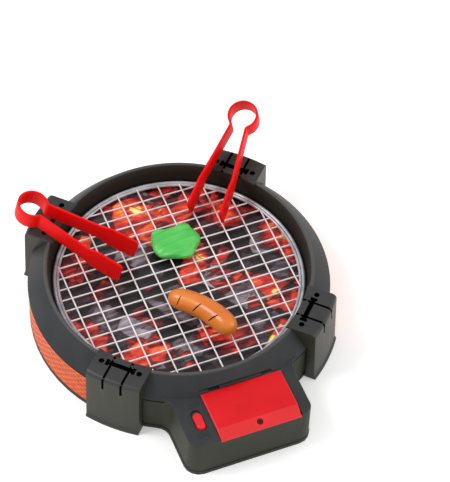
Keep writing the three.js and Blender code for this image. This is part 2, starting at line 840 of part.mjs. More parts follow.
function bracketSlot() {
  const bottom = bracketTopHeight - 2 * wall;
  const top = bracketTopHeight + overrun;
  const bar = block(
    slotDistance - slotWidth / 2,
    slotDistance + slotWidth / 2,
    -slotHalf,
    slotHalf,
    bottom,
    top,
  );
  const ends = [-slotHalf, slotHalf].map((side) =>
    block(
      slotDistance - slotEndLength / 2,
      slotDistance + slotEndLength / 2,
      side - slotEndWidth / 2,
      side + slotEndWidth / 2,
      bottom,
      top,
    ),
  );
  return [bar, ...ends];
}

// Two grooves run in to the inner edge, two run out over the rounded edge and down the face
function bracketGrooves() {
  const top = bracketTopHeight + overrun;
  const floor = bracketTopHeight - grooveDepth;
  return [-grooveSpread, grooveSpread].flatMap((side) => {
    const low = side - grooveWidth / 2;
    const high = side + grooveWidth / 2;
    return [
      block(bracketInner - overrun, slotDistance, low, high, floor, top),
      block(slotDistance, bracketFaceTop - bracketEdgeRound / 2, low, high, floor, top),
      block(
        bracketFaceTop - grooveDepth,
        bracketFaceBottom + overrun,
        low,
        high,
        bracketTopHeight - grooveDrop,
        top,
      ),
    ];
  });
}

// Screws: a flat head and a plain shank, head up at height zero
function screw(headRadius, headHeight, shankRadius, length) {
  return solid(
    turned(
      [
        [0, -headHeight - length],
        [shankRadius, -headHeight - length],
        [shankRadius, -headHeight],
        [headRadius, -headHeight],
        [headRadius, -headHeight / 2],
        [headRadius * headFlatShare, 0],
        [0, 0],
      ],
      screwSteps,
    ),
  );
}

// Grate: rim with two beads and a valley, crosswise wires below, lengthwise wires above
function grateWires() {
  const rimInner = rimRadius - rimWidth;
  const bead = rimWidth / 5;
  const under = gridHeight - rimDrop;
  const edge = gridHeight - valleyRise;
  const top = gridHeight + beadRise;
  const rim = turned([
    [rimInner + bead / 2, under],
    [rimRadius - bead / 2, under],
    [rimRadius, edge],
    [rimRadius - bead, top],
    [rimRadius - rimWidth / 2, gridHeight + valleyRise],
    [rimInner + bead, top],
    [rimInner, edge],
  ]);
  let made = solid(rim);
  const reach = rimInner + bead;
  const wire = (offset, height, alongY) => {
    const half = Math.sqrt(reach ** 2 - offset ** 2);
    const bar = peg(wireRadius, -half, half, 4).rotateY(Math.PI / 2).translate(0, offset, height);
    return solid(alongY ? bar.rotateZ(Math.PI / 2) : bar);
  };
  const rise = wireRadius - wireBite / 2;
  for (let i = 0; i < crosswiseCount; i += 1) {
    const shares = (i - (crosswiseCount - 1) / 2) * crosswisePitchShare;
    made = made.add(wire(shares * rimRadius, gridHeight - rise, false));
  }
  for (let i = 0; i < lengthwiseCount; i += 1) {
    const shares = (i - (lengthwiseCount - 1) / 2) * lengthwisePitchShare;
    made = made.add(wire(shares * rimRadius, gridHeight + rise, true));
  }
  return made;
}

function emberSheet() {
  return solid(peg(sheetPocket - seatGap, sheetTop - sheetThickness, sheetTop, roundSteps));
}

// Light bowl: a shallow dish with a flat floor
function lightBowl() {
  const rim = wellRadius - 2 * seatGap;
  return solid(
    turned(
      [
        [0, bowlFloorHeight],
        [bowlFloorRadius, bowlFloorHeight],
        [rim - thinWall, bowlRimHeight - thinWall],
        [rim, bowlRimHeight - thinWall],
        [rim, bowlRimHeight],
        [rim - 2 * thinWall, bowlRimHeight],
        [bowlFloorRadius - thinWall, bowlFloorHeight + thinWall],
        [0, bowlFloorHeight + thinWall],
      ],
      roundSteps / 2,
    ),
  );
}

const boardFoot = bowlFloorHeight + thinWall + seatGap;
const lampFoot = boardFoot + boardThickness + seatGap;

function lampBoard() {
  return solid(peg(boardRadius, boardFoot, boardFoot + boardThickness, roundSteps / 2));
}

function lamp() {
  const shoulder = lampHeight - lampRadius;
  const dome = arc(new THREE.Vector2(0, shoulder), lampRadius, 0, rightAngle, 3);
  return solid(
    turned(
      [
        [0, 0],
        [lampRadius + lampCollar, 0],
        [lampRadius + lampCollar, lampCollarHeight],
        [lampRadius, lampCollarHeight],
        ...dome.slice(0, -1).map((point) => [point.x, point.y]),
        [0, lampHeight],
      ],
      screwSteps,
    ),
  );
}

// Battery cover: flat top, sloping front strip with a lip, locating ribs and two rear tabs
function batteryCover() {
  const lipFoot = coverFrontHeight - coverLip;
  const stripUnder = coverThickness / Math.cos(stripLean);
  const plate = sideways(
    [
      [coverBack, coverUnder],
      [coverBack, coverTopHeight],
      [coverBend, coverTopHeight],
      [coverFront, coverFrontHeight],
      [coverFront, lipFoot],
      [boxFront + seatGap, lipFoot],
      [boxFront + seatGap, coverFrontHeight - stripUnder + (coverFront - boxFront - seatGap) * stripSlope],
      [coverBend, coverUnder],
    ],
    coverLeft,
    coverRight,
  );
  const ribTop = coverUnder + coverThickness / 2;
  const ribFoot = coverUnder - coverRibDepth;
  const outerLeft = coverMiddle - openingHalf + coverRibSlack;
  const outerRight = coverMiddle + openingHalf - coverRibSlack;
  const outerFront = coverRibSlack - openingFront;
  const outerBack = -openingBack - coverRibSlack;
  const ribs = solid(block(outerLeft, outerRight, outerFront, outerBack, ribFoot, ribTop)).subtract(
    solid(
      block(
        outerLeft + coverRib,
        outerRight - coverRib,
        outerFront + coverRib,
        outerBack - coverRib,
        ribFoot - overrun,
        ribTop + overrun,
      ),
    ),
  );
  let made = solid(plate).add(ribs);
  for (const spread of [-tabSpread, tabSpread]) {
    const tab = block(
      coverMiddle + spread - tabWidth / 2,
      coverMiddle + spread + tabWidth / 2,
      -coverBack - overrun,
      tabReach - notchBack,
      coverUnder,
      coverUnder + tabThickness,
    );
    made = made.add(solid(tab));
  }
  return cutBy(made, [
    stripPeg(coverScrewShank + screwSlack, -2 * coverThickness, overrun),
    stripPeg(coverScrewHead + screwSlack, -coverScrewRecess, overrun),
  ]);
}

const bayTop = deckUnder - seatGap;
const bayFloor = bayTop - bayDepth;
const bayInnerHalf = openingHalf - thinWall;
const bayBack = -openingBack;
const bayFront = -openingFront;
const cellSpread = (bayBack - bayFront) / 4;
const cellHeight = bayFloor + seatGap + cellRadius;
const bayMiddleY = (bayBack + bayFront) / 2;
const cellRows = [bayMiddleY - cellSpread, bayMiddleY + cellSpread];

// Battery bay: an open box with a flange under the deck
function batteryBay() {
  const innerLeft = coverMiddle - bayInnerHalf;
  const innerRight = coverMiddle + bayInnerHalf;
  const made = joined([
    block(
      innerLeft - thinWall,
      innerRight + thinWall,
      bayFront - thinWall,
      bayBack + thinWall,
      bayFloor - thinWall,
      bayTop,
    ),
    block(
      innerLeft - thinWall - bayFlange,
      innerRight + thinWall + bayFlange,
      bayFront - thinWall,
      bayBack + thinWall,
      bayTop - thinWall,
      bayTop,
    ),
  ]);
  return cutBy(made, [block(innerLeft, innerRight, bayFront, bayBack, bayFloor, bayTop + overrun)]);
}

function batteryCell() {
  const bodyEnd = cellLength - cellNubHeight;
  return solid(
    turned(
      [
        [0, 0],
        [cellRadius - cellEdge, 0],
        [cellRadius, cellEdge],
        [cellRadius, bodyEnd - cellEdge],
        [cellRadius - cellEdge, bodyEnd],
        [cellNubRadius, bodyEnd],
        [cellNubRadius, cellLength],
        [0, cellLength],
      ],
      2 * screwSteps,
    ),
  );
}

function contactPlate() {
  return block(
    0,
    contactThickness,
    -contactWidth / 2,
    contactWidth / 2,
    -contactHeight / 2,
    contactHeight / 2,
  );
}

// Spring contact: a plate with a conical coil that runs along +X
function springContact() {
  const stepsPerTurn = 8;
  const steps = springTurns * stepsPerTurn;
  const points = [];
  for (let i = 0; i <= steps; i += 1) {
    const share = i / steps;
    const turn = share * springTurns * 2 * Math.PI;
    const radius = THREE.MathUtils.lerp(springRadius, springTipRadius, share);
    points.push(
      new THREE.Vector3(
        contactThickness + share * springLength,
        radius * Math.cos(turn),
        radius * Math.sin(turn),
      ),
    );
  }
  const path = new THREE.CatmullRomCurve3(points);
  const wireRound = arc(new THREE.Vector2(0, 0), springWire, 0, 4 * rightAngle, springSides);
  const section = new THREE.Shape(wireRound.slice(1));
  const coil = new THREE.ExtrudeGeometry(section, { steps, extrudePath: path, bevelEnabled: false });
  return solid(contactPlate()).add(solid(coil));
}

// Slide switch under the deck, with a pocket for the slider's stem
function slideSwitch() {
  const top = deckUnder - seatGap;
  const y = stemSlotMiddle;
  const body = block(
    switchX - switchWidth / 2,
    switchX + switchWidth / 2,
    y - switchLength / 2,
    y + switchLength / 2,
    top - switchHeight,
    top,
  );
  const pocket = block(
    switchX - stemWidth / 2 - seatGap,
    switchX + stemWidth / 2 + seatGap,
    y - stemSlotLength / 2,
    y + stemSlotLength / 2,
    top - stemPocketDepth,
    top + overrun,
  );
  return cutBy(solid(body), [pocket]);
}

// Slider: a rounded pill with a stem below
function switchSlider() {
  const foot = deckHeight - recessDepth + seatGap;
  const top = deckHeight + sliderRise;
  const levels = [
    [foot, 0],
    [top - sliderRound, 0],
    [top - sliderRound / 4, sliderRound / 3],
    [top, sliderRound],
  ];
  const rings = levels.map(([height, inset]) =>
    stadium(switchX, sliderY, sliderLength - 2 * inset, sliderWidth - 2 * inset, 6).map(
      (point) => new THREE.Vector3(point.x, point.y, height),
    ),
  );
  const pill = skinned(rings, stadium(switchX, sliderY, sliderLength, sliderWidth, 6));
  const stem = block(
    switchX - stemWidth / 2,
    switchX + stemWidth / 2,
    sliderY - stemLength / 2,
    sliderY + stemLength / 2,
    foot - stemDrop,
    foot + overrun,
  );
  return joined([pill, stem]);
}

// Both sides of a strip along a path of Vector2 points, as one outline
function stripOutline(path) {
  const half = stripThickness / 2;
  const left = [];
  const right = [];
  path.forEach((point, i) => {
    const before = path[Math.max(i - 1, 0)];
    const after = path[Math.min(i + 1, path.length - 1)];
    const along = after.clone().sub(before).normalize();
    const normal = new THREE.Vector2(-along.y, along.x).multiplyScalar(half);
    left.push(point.clone().add(normal));
    right.push(point.clone().sub(normal));
  });
  return [...left, ...right.reverse()];
}

// Tongs are drawn about the loop's middle, arms along +X and the strip's width along Z
function tongsLoop() {
  const middle = new THREE.Vector2(0, 0);
  const bend = loopRadius - stripThickness / 2;
  const path = [
    new THREE.Vector2(neckX, neckHalf),
    new THREE.Vector2(neckBendX, neckBendHalf),
    ...arc(middle, bend, loopOpenAngle, 4 * rightAngle - loopOpenAngle, 20),
    new THREE.Vector2(neckBendX, -neckBendHalf),
    new THREE.Vector2(neckX, -neckHalf),
  ];
  return solid(upright(stripOutline(path), -stripHalf, stripHalf));
}

function tongsArm(side) {
  const start = neckX + seatGap;
  const path = [
    new THREE.Vector2(start, side * neckHalf),
    new THREE.Vector2(widenX, side * widenHalf),
    new THREE.Vector2(tipX, side * tipHalf),
  ];
  const strip = upright(stripOutline(path), -paddleHalf, paddleHalf);
  const upper = [
    new THREE.Vector2(start - overrun, stripHalf),
    new THREE.Vector2(widenX, stripHalf),
    new THREE.Vector2(widenX + widenRun, paddleHalf),
    ...arc(new THREE.Vector2(tipX - tipRound, paddleHalf - tipRound), tipRound, rightAngle, 0, 3),
  ];
  const lower = upper.map((point) => new THREE.Vector2(point.x, -point.y)).reverse();
  const reach = tipHalf + neckHalf;
  const face = upright([...upper, ...lower], -reach, reach).rotateX(Math.PI / 2);
  return solid(strip).intersect(solid(face));
}

// Sausage: a bent, round-ended body with three slits across its top
function sausage() {
  const stations = 18;
  const rings = [];
  for (let i = 0; i <= stations; i += 1) {
    const share = Math.sin(((i / stations) * 2 - 1) * (Math.PI / 2));
    const angle = radians(sausageHalfAngle) * share;
    const swell = sausageRadius * (1 + sausageSwell * share);
    const bodyShare = Math.abs(share) ** 6;
    const radius = Math.max(swell * Math.sqrt(1 - bodyShare), swell / 8);
    const ring = [];
    for (let j = 0; j < sausageSides; j += 1) {
      const turn = (j / sausageSides) * 2 * Math.PI;
      const out = sausageBend + radius * Math.cos(turn);
      ring.push(
        new THREE.Vector3(
          out * Math.sin(angle),
          out * Math.cos(angle) - sausageBend,
          radius * Math.sin(turn),
        ),
      );
    }
    rings.push(ring);
  }
  const section = rings[0].map((_, j) => {
    const turn = (j / sausageSides) * 2 * Math.PI;
    return new THREE.Vector2(Math.cos(turn), Math.sin(turn));
  });
  const slitPlacesShare = [-0.5, 0.04, 0.52];
  const slits = slitPlacesShare.map((share) => {
    const angle = radians(sausageHalfAngle) * share;
    return block(
      -slitWidth / 2,
      slitWidth / 2,
      sausageBend - sausageRadius * 0.9,
      sausageBend + sausageRadius * 0.35,
      sausageRadius - slitDepth,
      2 * sausageRadius,
    )
      .rotateZ(-angle)
      .translate(0, -sausageBend, 0);
  });
  return cutBy(solid(skinned(rings, section)), slits);
}

// Pepper slice: a wavy outline with rounded edges; its points are shares of its reach
function pepperSlice() {
  const outlineShares = [
    [-0.82, 0.71],
    [-0.55, 0.86],
    [-0.19, 0.78],
    [0.25, 0.81],
    [0.54, 0.87],
    [0.76, 0.73],
    [0.84, 0.46],
    [1.0, -0.1],
    [0.66, -0.54],
    [0.3, -0.87],
    [-0.14, -0.77],
    [-0.7, -0.55],
    [-0.93, -0.36],
    [-1.0, 0.05],
  ];
  const curve = new THREE.SplineCurve(
    [...outlineShares, outlineShares[0]].map(([x, y]) =>
      new THREE.Vector2(x, y).multiplyScalar(pepperReach),
    ),
  );
  const outline = curve.getPoints(2 * outlineShares.length).slice(0, -1).reverse();
  const levelShares = [
    [0, 0.94],
    [0.25, 1],
    [0.62, 0.99],
    [0.88, 0.92],
    [1, 0.78],
  ];
  const rings = levelShares.map(([height, size]) =>
    outline.map((point) => new THREE.Vector3(point.x * size, point.y * size, height * pepperThickness)),
  );
  return solid(skinned(rings, outline));
}

// How far the tongs lean with their tips on the wires and their arms on a bracket's inner edge,
// which lies the given distance from the middle of the loop
function tongsLean(edgeDistance) {
  const drop = bracketTopHeight - wireTop - tipRound;
  const restX = tipX - tipRound;
  let lean = 0;
  for (let i = 0; i < 20; i += 1) {
    const run = restX * Math.cos(lean) - stripHalf * Math.sin(lean) - edgeDistance;
    lean = Math.atan2(drop, run);
  }
  return lean;
}

// The model: every piece is a named mesh in one group
const grill = new THREE.Group();
grill.name = "toy_barbecue_grill";

function place(parent, name, made, surface) {
  const mesh = new THREE.Mesh(made.isBufferGeometry ? made : geometryOf(made), surface);
  mesh.name = name;
  parent.add(mesh);
  return mesh;
}

place(grill, "upper_housing", upperHousing(), darkPlastic);
place(grill, "base_tray", baseTray(), darkPlastic);

const panelGeometry = geometryOf(sidePanel());
const panelNames = ["side_panel_right", "side_panel_back", "side_panel_left"];
panelNames.forEach((name, i) => {
  place(grill, name, panelGeometry, panelPlastic).rotation.z = radians(i * rightAngle);
});

const bracketGeometry = geometryOf(clampBracket());
const bracketScrewGeometry = geometryOf(
  screw(bracketScrewHead, bracketScrewHeadHeight, bracketScrewShank, bracketScrewLength),
);
const bracketNames = ["back_right", "back_left", "front_left", "front_right"];
bracketNames.forEach((name, i) => {
  const station = new THREE.Group();
  station.rotation.z = radians(bracketAngles[i]);
  grill.add(station);
  place(station, "clamp_bracket_" + name, bracketGeometry, bracketPlastic);
  [-bracketHoleSpread, bracketHoleSpread].forEach((side, j) => {
    const fastener = place(station, `bracket_screw_${name}_${j + 1}`, bracketScrewGeometry, screwMetal);
    const top = bracketTopHeight - bracketHoleDepth + seatGap + bracketScrewHeadHeight;
    fastener.position.set(bracketHoleCircle, side, top);
  });
});

place(grill, "grate", grateWires(), platedMetal);
place(grill, "ember_sheet", emberSheet(), emberPrint);
place(grill, "light_bowl", lightBowl(), whitePlastic);
place(grill, "lamp_board", lampBoard(), boardGreen);
const lampGeometry = geometryOf(lamp());
for (let i = 0; i < lampCount; i += 1) {
  const angle = (i / lampCount) * 2 * Math.PI;
  place(grill, `lamp_${i + 1}`, lampGeometry, lampRed).position.set(
    lampCircle * Math.cos(angle),
    lampCircle * Math.sin(angle),
    lampFoot,
  );
}

place(grill, "battery_cover", batteryCover(), redPlastic);
const coverScrew = place(
  grill,
  "cover_screw",
  screw(coverScrewHead, coverScrewHeadHeight, coverScrewShank, coverScrewLength),
  screwMetal,
);
const coverScrewRise = seatGap + coverScrewHeadHeight - coverScrewRecess;
coverScrew.rotation.x = stripLean;
coverScrew.position.set(
  coverScrewX,
  coverScrewY - coverScrewRise * Math.sin(stripLean),
  coverScrewTop + coverScrewRise * Math.cos(stripLean),
);
place(grill, "battery_bay", batteryBay(), darkPlastic);

const cellGeometry = geometryOf(batteryCell());
const plateGeometry = geometryOf(solid(contactPlate()));
const springGeometry = geometryOf(springContact());
cellRows.forEach((y, i) => {
  const row = new THREE.Group();
  row.position.set(coverMiddle, y, cellHeight);
  row.rotation.z = i * Math.PI;
  grill.add(row);
  const cell = place(row, `battery_cell_${i + 1}`, cellGeometry, cellWrap);
  cell.rotation.y = Math.PI / 2;
  cell.position.x = bayInnerHalf - seatGap - contactThickness - seatGap - cellLength;
  place(row, `contact_plate_${i + 1}`, plateGeometry, springMetal).position.x =
    bayInnerHalf - seatGap - contactThickness;
  place(row, `contact_spring_${i + 1}`, springGeometry, springMetal).position.x =
    seatGap - bayInnerHalf;
});

place(grill, "slide_switch", slideSwitch(), switchMetal);
place(grill, "switch_slider", switchSlider(), switchRed);

const caseScrewGeometry = geometryOf(
  screw(caseScrewHead, caseScrewHeadHeight, caseScrewShank, caseScrewLength),
);
casePostPlaces().forEach(({ x, y }, i) => {
  const fastener = place(grill, `case_screw_${i + 1}`, caseScrewGeometry, screwMetal);
  fastener.rotation.x = Math.PI;
  fastener.position.set(x, y, caseScrewSink);
});

// Each pair of tongs: plan position of the loop, and the way the tips point, in degrees
const tongsPlaces = [
  { name: "tongs_left", loopOut: leftLoopOut, loopAngle: 138.6, heading: -47.1, bracket: 135 },
  { name: "tongs_right", loopOut: rightLoopOut, loopAngle: 47.5, heading: -133.5, bracket: 45 },
];
const loopGeometry = geometryOf(tongsLoop());
const armGeometries = [-1, 1].map((side) => geometryOf(tongsArm(side)));
for (const { name, loopOut, loopAngle, heading, bracket } of tongsPlaces) {
  const flat = new THREE.Vector2(Math.cos(radians(heading)), Math.sin(radians(heading)));
  const loop = new THREE.Vector2(Math.cos(radians(loopAngle)), Math.sin(radians(loopAngle)));
  loop.multiplyScalar(lipRadius + loopOut);
  const outward = new THREE.Vector2(Math.cos(radians(bracket)), Math.sin(radians(bracket)));
  const aside = Math.abs(loop.cross(outward)) + widenHalf;
  const edge = Math.sqrt(bracketInner ** 2 - aside ** 2);
  const lean = tongsLean((loop.dot(outward) - edge) / -flat.dot(outward));
  const restX = tipX - tipRound;
  const restHeight = wireTop + seatGap + tipRound + (paddleHalf - tipRound) * Math.cos(lean);
  const pair = new THREE.Group();
  pair.rotation.order = "ZYX";
  pair.rotation.set(0, lean, radians(heading));
  pair.position.set(loop.x, loop.y, restHeight + restX * Math.sin(lean));
  grill.add(pair);
  pair.name = name;
  place(pair, name + "_loop", loopGeometry, tongsRed);
  place(pair, name + "_arm_1", armGeometries[0], tongsRed);
  place(pair, name + "_arm_2", armGeometries[1], tongsRed);
}

const sausageMesh = place(grill, "sausage", sausage(), sausageVinyl);
sausageMesh.position.set(
  sausageXShare * rimRadius,
  sausageYShare * rimRadius,
  wireTop + seatGap + sausageRadius * (1 + sausageSwell / 2),
);
sausageMesh.rotation.z = radians(sausageHeading);

// The pepper slice lies ahead of the right tongs' tips
const rightTongs = grill.getObjectByName("tongs_right");
rightTongs.updateMatrix();
const tips = new THREE.Vector3(tipX, 0, 0).applyMatrix4(rightTongs.matrix);
const ahead = new THREE.Vector3(pepperAhead + pepperReach, pepperAside, 0);
ahead.applyAxisAngle(new THREE.Vector3(0, 0, 1), rightTongs.rotation.z);
place(grill, "pepper_slice", pepperSlice(), pepperVinyl).position.set(
  tips.x + ahead.x,
  tips.y + ahead.y,
  wireTop + seatGap,
);

export default grill;
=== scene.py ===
# Toy barbecue grill: a round ABS body with a sloping ring, a plated wire grate over a glowing
# ember print, four clamp brackets, orange side panels, a control box, tongs and play food.
# Metres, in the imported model's frame: +Z up, the control box points along -Y.
from contextlib import contextmanager
import json
import math

import bmesh
import bpy
from mathutils import Matrix, Vector


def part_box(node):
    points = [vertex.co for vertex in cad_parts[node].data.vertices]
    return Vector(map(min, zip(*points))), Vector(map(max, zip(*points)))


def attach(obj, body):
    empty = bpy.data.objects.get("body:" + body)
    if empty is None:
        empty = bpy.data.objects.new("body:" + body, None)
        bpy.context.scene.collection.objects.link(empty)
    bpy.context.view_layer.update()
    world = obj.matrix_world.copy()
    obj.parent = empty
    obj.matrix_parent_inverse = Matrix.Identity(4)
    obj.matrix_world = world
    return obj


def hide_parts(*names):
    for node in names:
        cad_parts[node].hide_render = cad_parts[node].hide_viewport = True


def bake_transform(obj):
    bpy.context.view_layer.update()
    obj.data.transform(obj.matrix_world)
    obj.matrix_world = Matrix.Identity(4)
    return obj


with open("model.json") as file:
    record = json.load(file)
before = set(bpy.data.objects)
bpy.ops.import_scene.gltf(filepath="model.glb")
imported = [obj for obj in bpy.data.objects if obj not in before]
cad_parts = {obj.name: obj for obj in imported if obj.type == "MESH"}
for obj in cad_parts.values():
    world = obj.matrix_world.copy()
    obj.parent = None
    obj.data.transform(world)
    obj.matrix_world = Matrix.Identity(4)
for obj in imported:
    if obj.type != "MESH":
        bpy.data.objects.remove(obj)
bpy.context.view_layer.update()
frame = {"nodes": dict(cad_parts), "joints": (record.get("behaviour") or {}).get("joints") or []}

MM = 0.001
TURN = 2 * math.pi
ROUND_STEPS = 256  # facets round the body
SAME_PLACE = 0.001 * MM  # points closer than this are one

# Sloping ring and round body, as radii and heights
LIP_RADIUS = 121 * MM
LIP_HEIGHT = 37 * MM
LIP_UNDER = 35.2 * MM
LIP_ROUND = 0.7 * MM
LIP_ROUND_UNDER = 0.4 * MM
CREST_RADIUS = 106.3 * MM
CREST_HEIGHT = 54.9 * MM
CREST_ROUND = 1.5 * MM
DRUM_RADIUS = 117.6 * MM
DRUM_FOOT = 3.9 * MM
WALL = 2.2 * MM
THIN_WALL = 1.6 * MM
GAP = 0.3 * MM
OVERRUN = 1.5 * MM  # how far a cut runs past the face it opens
FRONT_RADIUS = 120.3 * MM  # the bare front, nearly flush with the side panels
FRONT_HALF = 39.4  # degrees that the bare front reaches to each side

# Grate and the ledges that carry it
GRID_HEIGHT = 38.2 * MM
WIRE_RADIUS = 0.68 * MM
LOWER_WIRES = GRID_HEIGHT - 0.38 * MM  # the two layers of wires bite into each other a little
UPPER_WIRES = GRID_HEIGHT + 0.82 * MM
ACROSS_PITCH = 10.6 * MM
ALONG_PITCH = 17.4 * MM
WIRE_REACH = 97.4 * MM  # the wires end inside the rim
RIM_RADIUS = 100.9 * MM
RIM_WIDTH = 5.2 * MM
BEAD_RADIUS = 1.35 * MM
BEAD_TOP = GRID_HEIGHT + 1.3 * MM
POCKET_RADIUS = 101.9 * MM
RIM_SEAT = 36.6 * MM
SHEET_POCKET = 98.6 * MM
SHEET_SEAT = 33.6 * MM
WELL_RADIUS = 94.6 * MM
WELL_FOOT = 14 * MM

# Control box
BOX_HALF_BOTTOM = 51.6 * MM
BOX_HALF_TOP = 50.3 * MM
BOX_FRONT = 157.8 * MM
BOX_CORNER_BOTTOM = 12 * MM
BOX_CORNER_TOP = 8 * MM
BOX_ROOT = 12 * MM
DECK_HEIGHT = 39.5 * MM
DECK_UNDER = DECK_HEIGHT - WALL
DECK_ROUND = 1.1 * MM

# Battery cover, its notch and opening; "outward" counts along -Y
COVER_MIDDLE = 6.8 * MM
COVER_HALF = 33.3 * MM
COVER_BACK = 114.8 * MM
COVER_BEND = 149 * MM
COVER_FRONT = 158.4 * MM
COVER_TOP = 41.3 * MM
COVER_FRONT_HEIGHT = 37.7 * MM
COVER_THICKNESS = 1.5 * MM
COVER_UNDER = COVER_TOP - COVER_THICKNESS
COVER_CHAMFER = 1 * MM  # width of the shallow chamfers along both sides
COVER_EDGE = 0.35 * MM
COVER_BEND_ROUND = 0.8 * MM
COVER_LIP = 1.7 * MM
COVER_RIB = 1.2 * MM
COVER_RIB_DEPTH = 2.4 * MM
NOTCH_SIDE = 0.7 * MM
HINGE_OUTWARD = 112.2 * MM  # the cover's hinge axis, below the ring's slope
HINGE_HEIGHT = 40.5 * MM
HINGE_REST = 2.4 * MM  # radius of the rounded rest behind the cover
COVER_OPENS = math.radians(60)
TAB_SPREAD = 22 * MM
TAB_HALF = 4 * MM
TAB_REACH = 1.2 * MM  # how far the tabs reach past the hinge axis
TAB_LIFT = 0.1 * MM  # how far they lie above the cover's underside
TAB_THICKNESS = 1.1 * MM
TAB_ROOM = 0.4 * MM  # between a tab or a rib and what it fits into
TAB_SLOT_DEPTH = 0.6 * MM  # below the deck
TAB_SLOT_RISE = 2.7 * MM  # above the deck
LEDGE_DROP = 5.4 * MM
POST_HOLE_RADIUS = 1.9 * MM
POST_HOLE_DEPTH = 7.2 * MM
COVER_HOLE_RADIUS = 1.3 * MM
COVER_HOLE_DEPTH = 3 * MM
COVER_SINK_RADIUS = 2.5 * MM
COVER_SINK_DEPTH = 0.5 * MM
COVER_SCREW_RISE = 0.65 * MM
OPENING_BACK = 116.8 * MM
OPENING_FRONT = 147.6 * MM
OPENING_HALF = 31.3 * MM
STRIP_SLOPE = (COVER_TOP - COVER_FRONT_HEIGHT) / (COVER_FRONT - COVER_BEND)
STRIP_LEAN = math.atan(STRIP_SLOPE)
COVER_SCREW = Vector((7.3 * MM, -153.2 * MM, COVER_FRONT_HEIGHT + 5.2 * MM * STRIP_SLOPE))

# Switch
SWITCH_X = -36.4 * MM
SWITCH_Y = -135.5 * MM
RECESS_LENGTH = 19.6 * MM
RECESS_WIDTH = 8 * MM
RECESS_DEPTH = 1.3 * MM
STEM_SLOT_HALF_WIDTH = 1.5 * MM
STEM_SLOT_HALF_LENGTH = 3.9 * MM
STEM_SLOT_SHIFT = 0.2 * MM
STEM_HALF_WIDTH = 1.2 * MM
STEM_HALF_LENGTH = 2 * MM
SLIDER_LENGTH = 15.4 * MM
SLIDER_WIDTH = 6.9 * MM
SLIDER_TOP = DECK_HEIGHT + 2.6 * MM
SLIDER_ROUND = 1.5 * MM
DIP_RADIUS = 9.6 * MM
DIP_RISE = 8.6 * MM  # its middle, above the slider's top
DIP_SHIFT = 3.4 * MM  # and behind the slider's middle

# Clamp brackets, drawn pointing along +X
BRACKET_HALF = 22.5 * MM
BRACKET_TOP = 55.9 * MM
BRACKET_UNDER = BRACKET_TOP - WALL
BRACKET_INNER = 103.2 * MM
BRACKET_FACE_TOP = 127.7 * MM
BRACKET_FACE_BOTTOM = 129.3 * MM
BRACKET_FLARE = 1.3 * MM  # how far its foot stands out from its face
BRACKET_FOOT_HEIGHT = 1.7 * MM
BRACKET_FOOT_FADE = 3.6 * MM  # where the flare meets the face
BRACKET_SHOULDER = 4 * MM  # rounding between its top and its face
BRACKET_EDGE = 0.55 * MM
BRACKET_SLOT_X = 110.8 * MM
BRACKET_SLOT_REACH = 11 * MM
BRACKET_SLOT_HALF = 2 * MM
BRACKET_SLOT_END = (3 * MM, 1.4 * MM)  # half sizes of the slot's wider ends
BRACKET_SLOT_DEPTH = 3.3 * MM
BRACKET_GROOVE_SIDE = 7.6 * MM
BRACKET_GROOVE_HALF = 1 * MM
BRACKET_GROOVE_DEPTH = 1.3 * MM
BRACKET_GROOVE_DROP = 12 * MM  # how far the grooves run down the face
BRACKET_SCREW_X = 111.3 * MM
BRACKET_SCREW_SIDE = 15.9 * MM
BRACKET_HOLE_RADIUS = 2.25 * MM
BRACKET_HOLE_DEPTH = 3.7 * MM
BRACKET_ANGLES = {"back_right": 45, "back_left": 135, "front_left": 225, "front_right": 315}

# Side panels
PANEL_HALF = math.radians(33.8)
PANEL_THICKNESS = 3 * MM
PANEL_BORDER = 1.6 * MM  # plain border round the lattice
PANEL_EDGE = 0.9 * MM  # width of its eased edge
PANEL_EDGE_DROP = 0.5 * MM
PANEL_RELIEF = 0.35 * MM
DIAMOND_WIDTH = 7 * MM
DIAMOND_HEIGHT = 6 * MM


def linear(hex_code):
    """An sRGB hex colour as linear red, green, blue and alpha."""
    parts = [int(hex_code[i : i + 2], 16) / 255 for i in (1, 3, 5)]
    return (*(p / 12.92 if p <= 0.04045 else ((p + 0.055) / 1.055) ** 2.4 for p in parts), 1)


def add(tree, kind, inputs=None, stops=None, **settings):
    """Adds a node with its settings and links.

    An input given as a node takes that node's first shown output, one given as a socket is linked
    to it, and a list links all its members. Stops are a ramp's (position, hex colour) pairs, both
    ends first.
    """
    node = tree.nodes.new(kind)
    for name, value in settings.items():
        setattr(node, name, value)
    for name, given in (inputs or {}).items():
        for value in given if isinstance(given, list) else [given]:
            if isinstance(value, bpy.types.Node):
                value = next(output for output in value.outputs if output.enabled)
            if isinstance(value, bpy.types.NodeSocket):
                tree.links.new(value, node.inputs[name])
            else:
                node.inputs[name].default_value = value
    for number, (position, colour) in enumerate(stops or []):
        elements = node.color_ramp.elements
        element = elements[number] if number < 2 else elements.new(position)
        element.position, element.color = position, linear(colour)
    return node


def surface(name, constants):
    """A new material: returns it, its node tree, its shader and its pattern's own coordinates."""
    material = bpy.data.materials.new(name)
    material.use_nodes = True
    tree = material.node_tree
    shader = tree.nodes["Principled BSDF"]
    for socket, value in constants.items():
        shader.inputs[socket].default_value = value
    return material, tree, shader, add(tree, "ShaderNodeTexCoord").outputs["Object"]


def finish_surface(tree, shader, colour, roughness, height, depth):
    """Links a finish's colour, roughness and relief to its shader; depth is the relief in metres."""
    bump = add(tree, "ShaderNodeBump", {"Strength": 0.6, "Distance": depth, "Height": height})
    for socket, node in (("Base Color", colour), ("Roughness", roughness), ("Normal", bump)):
        tree.links.new(next(output for output in node.outputs if output.enabled), shader.inputs[socket])


EASED = {"interpolation_type": "SMOOTHSTEP"}
FLAT = {"voronoi_dimensions": "2D"}
